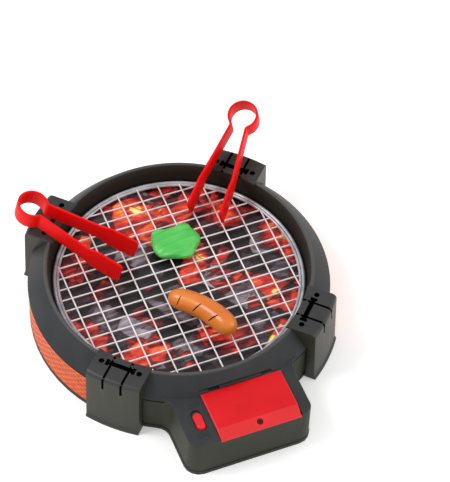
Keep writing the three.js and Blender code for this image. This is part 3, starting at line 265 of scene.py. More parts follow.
# Spark-eroded mould grain is about 0.1 mm; it is drawn 0.8 mm wide so that it shows.
MOULD_GRAIN = 0.8 * MM


def mottled(tree, place, patch, detail, stops, grain, roughness):
    """Slow patches of colour over a fine grain, by their real sizes: colour, dullness and grain."""
    patches = add(tree, "ShaderNodeTexNoise", {"Vector": place, "Scale": 1 / patch, "Detail": detail})
    fine = add(tree, "ShaderNodeTexNoise", {"Vector": place, "Scale": 1 / grain, "Detail": 2})
    colour = add(tree, "ShaderNodeValToRGB", {"Fac": patches}, stops)
    low, high = roughness
    span = {"Value": fine, "From Min": 0.3, "From Max": 0.7, "To Min": low, "To Max": high}
    return colour, add(tree, "ShaderNodeMapRange", span), fine


def moulded_plastic(name, dark, light, roughness, constants, painted_wall_bounce=None, crest=None):
    """Injection-moulded plastic: faint flow marks in the colour and a fine matt mould grain.

    Walls may take a warmer colour: painted bounce light from the floor. The crest of the ring may
    take a lighter one, a painted highlight. The wall inside it, which light hardly reaches, then goes
    nearly black: painted shade, with a faint painted red reflection of the embers.
    """
    material, tree, shader, place = surface(name, constants)
    stops = [(0.3, dark), (0.7, light)]
    dullness = (roughness - 0.05, roughness + 0.05)
    colour, dull, grain = mottled(tree, place, 32 * MM, 2, stops, MOULD_GRAIN, dullness)
    # Faces that turn sideways take the warmer wall colour: painted bounce light from the floor
    if painted_wall_bounce:
        normal = add(tree, "ShaderNodeNewGeometry").outputs["Normal"]
        upright = add(tree, "ShaderNodeSeparateXYZ", {"Vector": normal}).outputs["Z"]
        level = add(tree, "ShaderNodeMapRange", {"Value": upright, "From Min": 0.1, "From Max": 0.5})
        colour = add(tree, "ShaderNodeMix", {0: level, 6: linear(painted_wall_bounce), 7: colour}, data_type="RGBA")
    if crest:
        flat = add(tree, "ShaderNodeVectorMath", {0: place, 1: (1, 1, 0)}, operation="MULTIPLY")
        reach = add(tree, "ShaderNodeVectorMath", {0: flat}, operation="LENGTH").outputs["Value"]
        height = add(tree, "ShaderNodeSeparateXYZ", {"Vector": place}).outputs["Z"]
        for measure, start, end, most, tint in (
            # Painted shade, with a faint painted red reflection of the embers, on the wall inside the crest
            (reach, CREST_RADIUS - 1.2 * MM, CREST_RADIUS - 3 * MM, 0.8, "#1A1310"),
            # A painted highlight along the crest
            (height, CREST_HEIGHT - 1.6 * MM, CREST_HEIGHT - 0.2 * MM, 1.0, crest),
        ):
            span = {"Value": measure, "From Min": start, "From Max": end, "To Max": most}
            share = add(tree, "ShaderNodeMapRange", span, **EASED)
            colour = add(tree, "ShaderNodeMix", {0: share, 6: colour, 7: linear(tint)}, data_type="RGBA")
    finish_surface(tree, shader, colour, dull, grain, 0.05 * MM)
    return material


def charcoal_patterns(tree, place):
    """Patterns of a charcoal bed, all bent out of true by 10 mm swirls.

    Lumps are about 24 mm across, with 11 mm facets, and wood fibres lie 4 mm apart and run four
    times as long. The colour of each lump and facet holds its own chances.
    """
    swirl = add(tree, "ShaderNodeTexNoise", {"Vector": place, "Scale": 1 / (30 * MM), "Detail": 2})
    push = {0: swirl.outputs["Color"], 1: (10 * MM, 10 * MM, 0), 2: place}
    pushed = add(tree, "ShaderNodeVectorMath", push, operation="MULTIPLY_ADD")
    lumps = {"Vector": pushed, "Scale": 1 / (24 * MM), "Randomness": 0.95}
    lump = add(tree, "ShaderNodeTexVoronoi", lumps, **FLAT)
    lump_edge = add(tree, "ShaderNodeTexVoronoi", lumps, feature="DISTANCE_TO_EDGE", **FLAT)
    facets = {"Vector": pushed, "Scale": 1 / (11 * MM), "Randomness": 1.0, "Smoothness": 0.35}
    facet = add(tree, "ShaderNodeTexVoronoi", facets, feature="SMOOTH_F1", **FLAT)
    lump_chance = add(tree, "ShaderNodeSeparateColor", {"Color": lump.outputs["Color"]}).outputs
    facet_chance = add(tree, "ShaderNodeSeparateColor", {"Color": facet.outputs["Color"]}).outputs
    drawn_out = add(tree, "ShaderNodeVectorMath", {0: pushed, 1: (0.25, 1, 1)}, operation="MULTIPLY")
    fibres = {"Vector": drawn_out, "Scale": 1 / (4 * MM), "Detail": 4, "Roughness": 0.6}
    fibre = add(tree, "ShaderNodeTexNoise", fibres)
    return pushed, lump_chance, facet_chance, lump_edge, fibre


def ember_heat(tree, place, pushed, luck, facet_luck, fibre):
    """How hot the print looks: a lump's own luck, some of its facets', the zone, fibres and hot spots."""
    zone = add(tree, "ShaderNodeTexNoise", {"Vector": place, "Scale": 1 / (50 * MM), "Detail": 1})
    warmth = luck
    for pattern, weight in ((facet_luck, 0.6), (zone, 2.6), (fibre, 1.4)):
        warmth = add(tree, "ShaderNodeMath", {0: pattern, 1: weight, 2: warmth}, operation="MULTIPLY_ADD")
    glowing = add(tree, "ShaderNodeMapRange", {"Value": warmth, "From Min": 2.72, "From Max": 3.9})
    spots = {"Vector": pushed, "Scale": 1 / (34 * MM), "Randomness": 1.0}
    spot = add(tree, "ShaderNodeTexVoronoi", spots, **FLAT)
    near = {"Value": spot, "From Min": 0.04, "From Max": 0.2, "To Min": 0.7, "To Max": 0.0}
    core = add(tree, "ShaderNodeMapRange", near, **EASED)
    return add(tree, "ShaderNodeMath", {0: core, 1: glowing, 2: glowing}, operation="MULTIPLY_ADD")


def cold_charcoal(tree, luck, facet_luck, fibre):
    """Colour of the cold lumps: from black to ash grey, facet by facet, with pale fibres."""
    ash = luck
    for pattern, weight in ((facet_luck, 0.5), (fibre, 1.0)):
        ash = add(tree, "ShaderNodeMath", {0: pattern, 1: weight, 2: ash}, operation="MULTIPLY_ADD")
    share = add(tree, "ShaderNodeMath", {0: ash, 1: 0.4}, operation="MULTIPLY")
    black_to_ash = [(0.42, "#120F11"), (0.8, "#C2B9C0"), (0.5, "#241E22"), (0.59, "#4A3F46"),
                    (0.68, "#877C84")]
    return add(tree, "ShaderNodeValToRGB", {"Fac": share}, black_to_ash)


def ember_print():
    """Glossy printed film: faceted charcoal lumps, some black or ashen and some glowing red."""
    material, tree, shader, place = surface("glossy_ember_print", {"Emission Strength": 0.16})
    pushed, lump_chance, facet_chance, lump_edge, fibre = charcoal_patterns(tree, place)
    heat = ember_heat(tree, place, pushed, lump_chance[0], facet_chance[0], fibre)
    red_hot = [(0.0, "#140E10"), (1.0, "#FFE486"), (0.14, "#2E0E10"), (0.28, "#74191A"),
               (0.44, "#B82C26"), (0.62, "#DA422E"), (0.78, "#EE6A3A"), (0.9, "#FABB50")]
    glow = add(tree, "ShaderNodeValToRGB", {"Fac": heat}, red_hot)
    coal = cold_charcoal(tree, lump_chance[1], facet_chance[1], fibre)
    cool = {"Value": heat, "From Min": 0.06, "From Max": 0.2, "To Min": 1.0, "To Max": 0.0}
    cold = add(tree, "ShaderNodeMapRange", cool, **EASED)
    charcoal = add(tree, "ShaderNodeMix", {0: cold, 6: glow, 7: coal}, data_type="RGBA")
    # Between the lumps the print is nearly black
    edge = {"Value": lump_edge, "From Max": 0.06, "To Min": 0.6, "To Max": 0.0}
    crack = add(tree, "ShaderNodeMapRange", edge, **EASED)
    printed = add(tree, "ShaderNodeMix", {0: crack, 6: charcoal, 7: linear("#0C090A")}, data_type="RGBA")
    shine = add(tree, "ShaderNodeMapRange", {"Value": fibre, "To Min": 0.34, "To Max": 0.5})
    relief = add(tree, "ShaderNodeMath", {0: fibre, 1: 0.5, 2: lump_edge}, operation="MULTIPLY_ADD")
    finish_surface(tree, shader, printed, shine, relief, 0.6 * MM)
    # Only the hot parts glow, with painted light of the lamps behind the print
    lit = add(tree, "ShaderNodeMapRange", {"Value": heat, "From Min": 0.25, "From Max": 0.6})
    lamp_light = add(tree, "ShaderNodeMix", {0: lit, 6: linear("#000000"), 7: printed}, data_type="RGBA")
    tree.links.new(lamp_light.outputs[2], shader.inputs["Emission Color"])
    return material


def plated_steel(name, dark, light, roughness, metallic):
    """Plated steel: an even bright skin with faint dull patches about 9 mm across."""
    material, tree, shader, place = surface(name, {"Metallic": metallic})
    stops = [(0.3, dark), (0.6, light)]
    dullness = (roughness - 0.04, roughness + 0.08)
    colour, dull, grain = mottled(tree, place, 9 * MM, 3, stops, 1.5 * MM, dullness)
    finish_surface(tree, shader, colour, dull, grain, 0.01 * MM)
    return material


def soft_vinyl(name, shade, base, light, roughness, patch, constants):
    """Soft moulded vinyl: a slow drift of colour and gloss, and a 1.6 mm orange-peel skin."""
    material, tree, shader, place = surface(name, constants)
    drift = add(tree, "ShaderNodeTexNoise", {"Vector": place, "Scale": 1 / patch, "Detail": 2})
    peel = add(tree, "ShaderNodeTexNoise", {"Vector": place, "Scale": 1 / (1.6 * MM), "Detail": 2})
    colour = add(tree, "ShaderNodeValToRGB", {"Fac": drift}, [(0.3, shade), (0.75, light), (0.5, base)])
    low, high = roughness - 0.03, roughness + 0.05
    span = {"Value": drift, "From Min": 0.3, "From Max": 0.7, "To Min": low, "To Max": high}
    finish_surface(tree, shader, colour, add(tree, "ShaderNodeMapRange", span), peel, 0.06 * MM)
    return material


def panel_plastic():
    """Moulded orange ABS: the raised lattice is lighter, a painted highlight, and its hollows deep orange,
    painted shade.
    """
    material, tree, shader, place = surface("embossed_orange_abs", {"Specular IOR Level": 0.35})
    raised = add(tree, "ShaderNodeAttribute", attribute_name="raised").outputs["Fac"]
    speckles = {"Vector": place, "Scale": 1 / (5 * MM), "Detail": 4, "Roughness": 0.6}
    mottle = add(tree, "ShaderNodeTexNoise", speckles)
    # Raised lines lighter and hollows darker: painted highlight and shade, over a random mottle
    uneven = add(tree, "ShaderNodeMath", {0: raised, 1: 0.45, 2: mottle}, operation="MULTIPLY_ADD")
    stops = [(0.25, "#A03410"), (1.0, "#DC6426"), (0.7, "#C84C18")]
    colour = add(tree, "ShaderNodeValToRGB", {"Fac": uneven}, stops)
    dull = add(tree, "ShaderNodeMapRange", {"Value": mottle, "To Min": 0.38, "To Max": 0.56})
    grain = add(tree, "ShaderNodeTexNoise", {"Vector": place, "Scale": 1 / MOULD_GRAIN, "Detail": 2})
    finish_surface(tree, shader, colour, dull, grain, 0.06 * MM)
    return material


def cell_sleeve():
    """Shrunk printed sleeve of a plain AA cell: satin blue with pale bands round both ends."""
    material, tree, shader, place = surface("shrunk_cell_sleeve", {"Metallic": 0.2})
    along = add(tree, "ShaderNodeSeparateXYZ", {"Vector": place}).outputs["X"]
    from_middle = add(tree, "ShaderNodeMath", {0: along, 1: COVER_MIDDLE}, operation="SUBTRACT")
    away = add(tree, "ShaderNodeMath", {0: from_middle}, operation="ABSOLUTE")
    ends = {"Value": away, "From Min": 19.8 * MM, "From Max": 20.2 * MM}
    band = add(tree, "ShaderNodeMapRange", ends)
    ink = add(tree, "ShaderNodeTexNoise", {"Vector": place, "Scale": 1 / (2 * MM), "Detail": 3})
    blue = add(tree, "ShaderNodeValToRGB", {"Fac": ink}, [(0.3, "#35507A"), (0.7, "#446290")])
    colour = add(tree, "ShaderNodeMix", {0: band, 6: blue, 7: linear("#C9CCD2")}, data_type="RGBA")
    dull = add(tree, "ShaderNodeMapRange", {"Value": ink, "To Min": 0.28, "To Max": 0.44})
    finish_surface(tree, shader, colour, dull, ink, 0.02 * MM)
    return material


SATIN = {"Specular IOR Level": 0.35}
MATT = {"Specular IOR Level": 0.25}
WAXY = {"Specular IOR Level": 0.12}
DULLED = {"Specular IOR Level": 0.18}
UNLIT = {"Specular IOR Level": 0.03}

# Spark-eroded ABS: a soft dark grey above, and on the walls a warmer one, painted bounce light from the floor
# Its crest gets a painted highlight, and the wall inside the crest painted shade
HOUSING = moulded_plastic("dark_grey_abs", "#2F3132", "#38393B", 0.52, DULLED, "#2E2F24", "#504E4C")
# The brackets' finer mould grain shines a little more than the housing beside it
# Its walls take a warmer grey: painted bounce light from the floor
BRACKET = moulded_plastic("charcoal_abs", "#2E2E2E", "#363736", 0.42, SATIN, "#2C2D22")
# Painted shade: the same plastic, near black, where it faces a slot, a groove or a hole and light hardly
# reaches it
PAINTED_SHADE = moulded_plastic("painted_shade_abs", "#010101", "#040404", 0.7, UNLIT)
# Film print behind the grate: the only part of the grill that glows, with painted lamp light
EMBERS = ember_print()
# Pressed lattice with a painted highlight on its lines, so the panel looks like a coarse weave
PANEL = panel_plastic()
# Bright white-nickel wire: reads nearly white against the embers
WIRE = plated_steel("bright_plated_wire", "#DCD3D5", "#F7F2F2", 0.38, 0.3)
# Rolled rim of the grate: the same plating, duller and greyer
RIM = plated_steel("dull_rolled_rim", "#A2A2A8", "#C4C4CA", 0.4, 0.45)
# Bright red ABS of the battery cover: flat, even and satin
COVER = moulded_plastic("red_abs", "#CC0B14", "#D8121B", 0.4, MATT)
# The cover's leaning strip and edges are spark-eroded matt, and their paler red is a painted highlight
COVER_PAINTED_HIGHLIGHT = moulded_plastic("red_abs_painted_highlight", "#D01E23", "#DB272C", 0.5, SATIN)
# The switch's ABS is a shade lighter than the cover's
SLIDER = moulded_plastic("red_switch_abs", "#D4151D", "#E01E26", 0.36, SATIN)
# Springy polypropylene of the tongs: a purer red with broad, waxy highlights
TONGS = moulded_plastic("red_polypropylene", "#E00909", "#EC1010", 0.5, WAXY)
# The sausage's vinyl browns unevenly from orange to amber under a thin clear gloss
SAUSAGE = soft_vinyl("orange_vinyl", "#C25B0C", "#D26C14", "#E28126", 0.3, 30 * MM, {"Coat Weight": 0.2})
# The score marks are painted dark brown
SCORED = soft_vinyl("painted_score_mark", "#200A03", "#2C1006", "#3A180A", 0.6, 5 * MM, MATT)
# The pepper's vinyl is a clear cool green that looks wet on its lobes
PEPPER = soft_vinyl("green_vinyl", "#42B348", "#50C254", "#6ACF6A", 0.34, 22 * MM, {"Coat Weight": 0.12})
# Blackened screws hardly show in their holes
SCREW = plated_steel("blackened_screw_steel", "#161414", "#2A2626", 0.45, 1.0)
# The cover's screw is a dark red-brown: painted shade in its hole, with a painted reflection of the red round
# it
SCREW_PAINTED_RED = plated_steel("screw_steel_painted_red", "#3A0C0A", "#561512", 0.5, 0.4)
# Zinc plating on the case screws and the switch: a plain grey shine
ZINC = plated_steel("zinc_plated_steel", "#7E8286", "#9A9DA1", 0.34, 1.0)
# Nickel plating on the battery contacts: smoother and paler than the zinc
NICKEL = plated_steel("nickel_plated_contact", "#A9ADB2", "#C9CCD0", 0.25, 1.0)
# Unpainted polystyrene of the light bowl: a soft white that spreads the lamps' light
WHITE = moulded_plastic("white_polystyrene", "#DAD9D4", "#EFEEEA", 0.5, SATIN)
# Solder mask of the lamp board: a deep green lacquer
BOARD = moulded_plastic("green_solder_mask", "#215636", "#34744A", 0.5, SATIN)
# Cast resin of the lamps: orange red and glassy
LAMP = soft_vinyl("tinted_lamp_resin", "#E8441A", "#FF5A2A", "#FF8A5A", 0.15, 3 * MM, {"Coat Weight": 0.3})
# Plastic sleeve of the cells: satin blue ink over a hint of the steel can
SLEEVE = cell_sleeve()


# Mesh tools


def placed(name, data):
    """A new object in the scene, for a mesh, a curve, a light or a camera."""
    made = bpy.data.objects.new(name, data)
    bpy.context.scene.collection.objects.link(made)
    return made


def coated(mesh, material):
    """The mesh with one material in place of any that it had."""
    mesh.materials.clear()
    mesh.materials.append(material)
    return mesh


@contextmanager
def editing(mesh):
    """The mesh in its editable form, written back at the end."""
    work = bmesh.new()
    work.from_mesh(mesh)
    yield work
    work.to_mesh(mesh)
    work.free()


def tidied(piece, smooth=35):
    """The piece with doubles merged, faces outwards and edges crisp where sharper than an angle."""
    mesh = piece.data
    with editing(mesh) as work:
        bmesh.ops.remove_doubles(work, verts=work.verts, dist=SAME_PLACE)
        bmesh.ops.recalc_face_normals(work, faces=work.faces)
    mesh.polygons.foreach_set("use_smooth", [True] * len(mesh.polygons))
    mesh.set_sharp_from_angle(angle=math.radians(smooth))
    return piece


def evaluated_mesh(thing):
    """A plain mesh of a curve, or of a piece with its modifiers carried out."""
    graph = bpy.context.evaluated_depsgraph_get()
    graph.update()
    return bpy.data.meshes.new_from_object(thing.evaluated_get(graph))


def applied(piece):
    """The piece with its modifiers turned into plain mesh."""
    mesh = evaluated_mesh(piece)
    piece.modifiers.clear()
    piece.data = mesh
    return piece


def combined(piece, others, operation="DIFFERENCE", smooth=35):
    """The piece cut by, joined to or kept inside other closed pieces, which are used up.

    A face that another piece leaves behind keeps that piece's material.
    """
    for other in others:
        modifier = piece.modifiers.new("boolean", "BOOLEAN")
        modifier.solver = "MANIFOLD"
        modifier.operation = operation
        modifier.material_mode = "TRANSFER"
        modifier.object = other
        applied(piece)
        bpy.data.objects.remove(other)
    return tidied(piece, smooth)


def lofted(name, rings, material=HOUSING, smooth=35, closed=False):
    """Rings of points with the same count, skinned; the ends are capped, or joined if it is closed."""
    count = len(rings[0])
    total = count * len(rings)
    faces = []
    for low in range(0, total if closed else total - count, count):
        high = (low + count) % total
        for i in range(count):
            j = (i + 1) % count
            faces.append((low + i, low + j, high + j, high + i))
    if not closed:
        faces += [tuple(reversed(range(count))), tuple(range(total - count, total))]
    mesh = bpy.data.meshes.new(name)
    mesh.from_pydata([tuple(point) for ring in rings for point in ring], [], faces)
    return tidied(placed(name, coated(mesh, material)), smooth)


def turned(name, profile, material=HOUSING, smooth=35):
    """A closed outline of (radius, height) points turned about the upright axis."""
    turns = [TURN * i / ROUND_STEPS for i in range(ROUND_STEPS)]
    rings = [[(r * math.cos(turn), r * math.sin(turn), height) for r, height in profile] for turn in turns]
    return lofted(name, rings, material, smooth, closed=True)


def arc(x, y, radius, start, end, count):
    """Points of an arc about a middle, with angles in degrees."""
    angles = [math.radians(start + (end - start) * i / count) for i in range(count + 1)]
    return [(x + radius * math.cos(a), y + radius * math.sin(a)) for a in angles]


def stadium(x, y, length, width, count=16):
    """A long hole's outline, with its length along Y."""
    reach = (length - width) / 2
    return arc(x, y + reach, width / 2, 0, 180, count) + arc(x, y - reach, width / 2, 180, 360, count)


def softened(corners, count=4):
    """An outline of (x, y, round) corners with each corner rounded by its own radius."""
    points = []
    for i, (x, y, radius) in enumerate(corners):
        if radius == 0:
            points.append((x, y))
            continue
        here = Vector((x, y))
        before = (Vector(corners[i - 1][:2]) - here).normalized()
        after = (Vector(corners[(i + 1) % len(corners)][:2]) - here).normalized()
        half = before.angle(after) / 2
        middle = here + (before + after).normalized() * (radius / math.sin(half))
        start = here + before * (radius / math.tan(half)) - middle
        end = here + after * (radius / math.tan(half)) - middle
        for step in range(count + 1):
            points.append(tuple(middle + start.slerp(end, step / count) * radius))
    return points


def quarter_round(top, radius):
    """The (height, inset) levels of a rounded upper edge."""
    turns = [math.pi / 2 * i / 5 for i in range(6)]
    return [(top - radius * (1 - math.sin(turn)), radius * (1 - math.cos(turn))) for turn in turns]


def around(middle, half):
    """The stretch that reaches half to each side of a middle."""
    return middle - half, middle + half


def upright(outline, heights, material=HOUSING, name="cutter"):
    """An outline of (x, y) points as a block between two heights."""
    return lofted(name, [[(x, y, height) for x, y in outline] for height in heights], material)


def crosswise(outline, sides, material=HOUSING):
    """An outline of (outward, height) points as a block between two sides."""
    return lofted("cutter", [[(x, -outward, height) for outward, height in outline] for x in sides], material)


def block(x_span, y_span, heights, material=HOUSING, name="cutter"):
    """A rectangular block between two places along each axis."""
    (left, right), (front, back) = x_span, y_span
    return upright([(left, front), (right, front), (right, back), (left, back)], heights, material, name)


def peg(x, y, radius, heights, material=HOUSING, count=24):
    """An upright round peg."""
    return upright(arc(x, y, radius, 0, 360, count)[:-1], heights, material)


def strip_peg(radius, heights, material, count=24):
    """A peg square to the cover's sloping strip at its screw; heights count from the strip."""
    made = peg(0, 0, radius, heights, material, count)
    made.data.transform(Matrix.Translation(COVER_SCREW) @ Matrix.Rotation(STRIP_LEAN, 4, "X"))
    return made


def settle(piece, body, material_slot, *nodes):
    """Fixes a finished piece to its body, in place of the modelled nodes given; its material slot is not
    used.
    """
    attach(piece, body)
    if nodes:
        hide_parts(*nodes)


# Upper housing

SLOPE = Vector((CREST_RADIUS - LIP_RADIUS, CREST_HEIGHT - LIP_HEIGHT))
SLOPE_LEAN = math.degrees(math.atan2(SLOPE.y, -SLOPE.x))


def slope_height(radius):
    """Height of the ring's slope at a radius."""
    return LIP_HEIGHT + (LIP_RADIUS - radius) * SLOPE.y / -SLOPE.x


def ring_contour():
    """The ring's outer contour, from the drum's foot over the lip and crest down to the rim's ledge."""
    crest = arc(CREST_RADIUS, CREST_HEIGHT - CREST_ROUND, CREST_ROUND, 90 - SLOPE_LEAN, 170, 10)
    corners = [
        (DRUM_RADIUS, DRUM_FOOT, 0),
        (DRUM_RADIUS, LIP_UNDER, 0),
        (LIP_RADIUS, LIP_UNDER, LIP_ROUND_UNDER),
        (LIP_RADIUS, LIP_HEIGHT, LIP_ROUND),
        (*crest[0], 0),
    ]
    return softened(corners)[:-1] + crest + [(POCKET_RADIUS, RIM_SEAT)]


def inner_profile():
    """The ring's inner side: the ledges and the well, up behind them, and down inside the drum."""
    well_back = WELL_RADIUS + WALL
    ledge_back = SHEET_POCKET + WALL
    drum_inner = DRUM_RADIUS - WALL
    return [
        (SHEET_POCKET, RIM_SEAT),
        (SHEET_POCKET, SHEET_SEAT),
        (WELL_RADIUS, SHEET_SEAT),
        (WELL_RADIUS, WELL_FOOT),
        (well_back, WELL_FOOT),
        (well_back, SHEET_SEAT - WALL),
        (ledge_back, SHEET_SEAT - WALL),
        (ledge_back, RIM_SEAT - WALL),
        (POCKET_RADIUS + WALL, RIM_SEAT - WALL),
        (CREST_RADIUS + WALL / 4, CREST_HEIGHT - 2 * WALL),
        (drum_inner, slope_height(drum_inner) - 1.6 * WALL),
        (drum_inner, DRUM_FOOT),
    ]


def box_outline(height, inset):
    """The control box's outline at a height: rounded front corners, and hollow curves into the drum."""
    rise = height / DECK_HEIGHT
    half = BOX_HALF_BOTTOM + (BOX_HALF_TOP - BOX_HALF_BOTTOM) * rise - inset
    corner = BOX_CORNER_BOTTOM + (BOX_CORNER_TOP - BOX_CORNER_BOTTOM) * rise - inset
    front = BOX_FRONT - inset
    root = BOX_ROOT + inset
    root_x = half + root
    root_y = math.sqrt((FRONT_RADIUS - inset + root) ** 2 - root_x**2)
    meet = math.degrees(math.atan2(root_y, root_x))
    inner = WELL_RADIUS / math.hypot(root_x, root_y)
    right = arc(half - corner, corner - front, corner, -90, 0, 14)
    right += arc(root_x, -root_y, root, 180, 180 - meet, 12)
    right.append((root_x * inner, -root_y * inner))
    return right + [(-x, y) for x, y in reversed(right)]


def box_and_front(levels, front_top, core_radius):
    """The control box with the bare front beside it, hollow inside a radius.

    Levels are (height, inset); the front stands from the first of them up to its own top.
    """
    foot, inset = levels[0]
    rings = [[(x, y, height) for x, y in box_outline(height, level)] for height, level in levels]
    made = lofted("box_and_front", rings)
    outer = arc(0, 0, FRONT_RADIUS - inset, -90 - FRONT_HALF, -90 + FRONT_HALF, 96)
    inner = arc(0, 0, WELL_RADIUS, -90 + FRONT_HALF, -90 - FRONT_HALF, 96)
    combined(made, [upright(outer + inner, (foot, front_top))], "UNION")
    core = peg(0, 0, core_radius, (-OVERRUN, DECK_HEIGHT + OVERRUN), count=ROUND_STEPS)
    return combined(made, [core])


def upper_housing():
    """The ring, the drum and the control box, hollow, with the cover's seat and the switch's recess."""
    made = turned("upper_housing_shell", ring_contour() + inner_profile())
    solid = [(DRUM_FOOT, 0), *quarter_round(DECK_HEIGHT, DECK_ROUND)]
    hollow = [(DRUM_FOOT - OVERRUN, WALL), (DECK_UNDER, WALL)]
    combined(made, [box_and_front(solid, LIP_UNDER, DRUM_RADIUS - WALL)], "UNION")
    combined(made, [box_and_front(hollow, LIP_UNDER - WALL, POCKET_RADIUS + 2 * WALL)])
    combined(made, cover_backing(), "UNION")
    combined(made, cover_cuts() + switch_cuts())
    # The lip's edge, below its rounding, is painted shade: a dark shadow line above the side panels
    made.data.materials.append(PAINTED_SHADE)
    painted_shadow_top = LIP_HEIGHT - 0.6 * MM
    for face in made.data.polygons:
        on_edge = -0.3 * MM < face.center.xy.length - LIP_RADIUS < 0.1 * MM
        if on_edge and LIP_UNDER < face.center.z < painted_shadow_top:
            face.material_index = len(made.data.materials) - 1
    return made


def cover_backing():
    """Solid behind the cover, as far as the ring's contour, and a ledge under its front strip."""
    wide = around(COVER_MIDDLE, COVER_HALF + NOTCH_SIDE + WALL)
    filled_ring = ring_contour()[:-1] + [(WELL_RADIUS, CREST_HEIGHT), (WELL_RADIUS, DRUM_FOOT)]
    backing = block(wide, (-LIP_RADIUS, WALL - HINGE_OUTWARD), (DECK_UNDER, CREST_HEIGHT))
    combined(backing, [turned("filled_ring", filled_ring)], "INTERSECT")
    back = OPENING_FRONT + THIN_WALL + GAP
    front = BOX_FRONT - DECK_ROUND
    ledge = [(back, DECK_UNDER), (back, DECK_HEIGHT), (front, DECK_HEIGHT), (front, DECK_UNDER - LEDGE_DROP)]
    return [backing, crosswise(ledge, wide)]


def cover_cuts():
    """The notch behind the cover, its opening, the seat of its strip, the tab slots and a screw hole."""
    sides = around(COVER_MIDDLE, COVER_HALF + NOTCH_SIDE)
    bend_height = COVER_UNDER - GAP / math.cos(STRIP_LEAN)
    front = BOX_FRONT + OVERRUN
    strip = [
        (COVER_BEND, bend_height), (COVER_BEND, CREST_HEIGHT), (front, CREST_HEIGHT),
        (front, bend_height - (front - COVER_BEND) * STRIP_SLOPE),
    ]
    # The ring overhangs the cover's back edge as far as the opened cover leaves room for it
    swing = Vector((math.cos(COVER_OPENS), math.sin(COVER_OPENS)))
    square = Vector((-swing.y, swing.x))
    opened_top = Vector((HINGE_OUTWARD, HINGE_HEIGHT)) + (COVER_TOP - HINGE_HEIGHT + GAP) * square
    nook = opened_top + swing * (COVER_BACK - HINGE_OUTWARD)
    overhang = opened_top + swing * (CREST_HEIGHT - opened_top.y) / swing.y
    rest = arc(HINGE_OUTWARD, HINGE_HEIGHT, HINGE_REST, 0, 90, 10)
    far = LIP_RADIUS + OVERRUN
    notch = [(HINGE_OUTWARD + HINGE_REST, DECK_HEIGHT), *rest, nook, overhang, (far, CREST_HEIGHT),
             (far, DECK_HEIGHT)]
    opening = block(
        around(COVER_MIDDLE, OPENING_HALF), (-OPENING_FRONT, -OPENING_BACK),
        (DECK_UNDER - 2 * WALL, DECK_HEIGHT + OVERRUN),
    )
    back = HINGE_OUTWARD - WALL - OVERRUN
    front = HINGE_OUTWARD + HINGE_REST + GAP
    low, high = DECK_HEIGHT - TAB_SLOT_DEPTH, DECK_HEIGHT + TAB_SLOT_RISE
    roof = opened_top + swing * (high - opened_top.y) / swing.y
    slot = [(back, low), (front, low), (front, nook.y), nook, roof, (back, high)]
    tabs = [around(COVER_MIDDLE + spread, TAB_HALF + TAB_ROOM) for spread in (-TAB_SPREAD, TAB_SPREAD)]
    hole = strip_peg(POST_HOLE_RADIUS, (-POST_HOLE_DEPTH, OVERRUN), HOUSING)
    slots = [crosswise(slot, tab) for tab in tabs]
    return [crosswise(notch, sides), opening, crosswise(strip, sides), *slots, hole]


def switch_cuts():
    """The slider's long recess and the slot for its stem."""
    outline = stadium(SWITCH_X, SWITCH_Y, RECESS_LENGTH, RECESS_WIDTH)
    recess = upright(outline, (DECK_HEIGHT - RECESS_DEPTH, DECK_HEIGHT + OVERRUN))
    slot_x = around(SWITCH_X, STEM_SLOT_HALF_WIDTH)
    slot_y = around(SWITCH_Y - STEM_SLOT_SHIFT, STEM_SLOT_HALF_LENGTH)
    return [recess, block(slot_x, slot_y, (DECK_UNDER - OVERRUN, DECK_HEIGHT))]


settle(upper_housing(), "housing", "housing_plastic", "upper_housing")


# Raised words beside the switch

LETTER_HEIGHT = 5.4 * MM
LETTER_RISE = 0.25 * MM
LETTER_BEVEL = 0.06 * MM


def raised_word(word, x, y):
    """Low letters on the deck, moulded in one with it."""
    curve = bpy.data.curves.new("word_" + word.lower(), "FONT")
    curve.body = word
    curve.size = LETTER_HEIGHT
    curve.extrude = LETTER_RISE
    curve.bevel_depth = LETTER_BEVEL
    curve.align_x = curve.align_y = "CENTER"
    text = placed(curve.name, curve)
    mesh = coated(evaluated_mesh(text), HOUSING)
    bpy.data.objects.remove(text)
    mesh.transform(Matrix.Translation((x, y, DECK_HEIGHT)))
    settle(tidied(placed("raised_" + curve.name, mesh), 30), "housing", "housing_plastic")


raised_word("OFF", -34 * MM, -121.6 * MM)
raised_word("ON", -37.6 * MM, -149.6 * MM)


# Clamp brackets


def bracket_slab(profile, half, edge=0.0):
    """A profile of (radius, height) points turned about the upright axis and cut square at both sides.

    An edge above zero is the bevel round both sides.
    """
    stations = 13
    rings = []
    for i in range(stations):
        y = half * (2 * i / (stations - 1) - 1)
        rings.append([(math.sqrt(radius**2 - y**2), y, height) for radius, height in profile])
    made = lofted("clamp_bracket", rings, BRACKET, 40)
    if edge:
        with editing(made.data) as work:
            sides = [e for e in work.edges if abs(sum(v.co.y for v in e.verts)) > 2 * half - SAME_PLACE]
            rounding = {"offset": edge, "segments": 3, "profile": 0.5, "clamp_overlap": True}
            bmesh.ops.bevel(work, geom=sides, affect="EDGES", **rounding)
        tidied(made, 40)
    return made


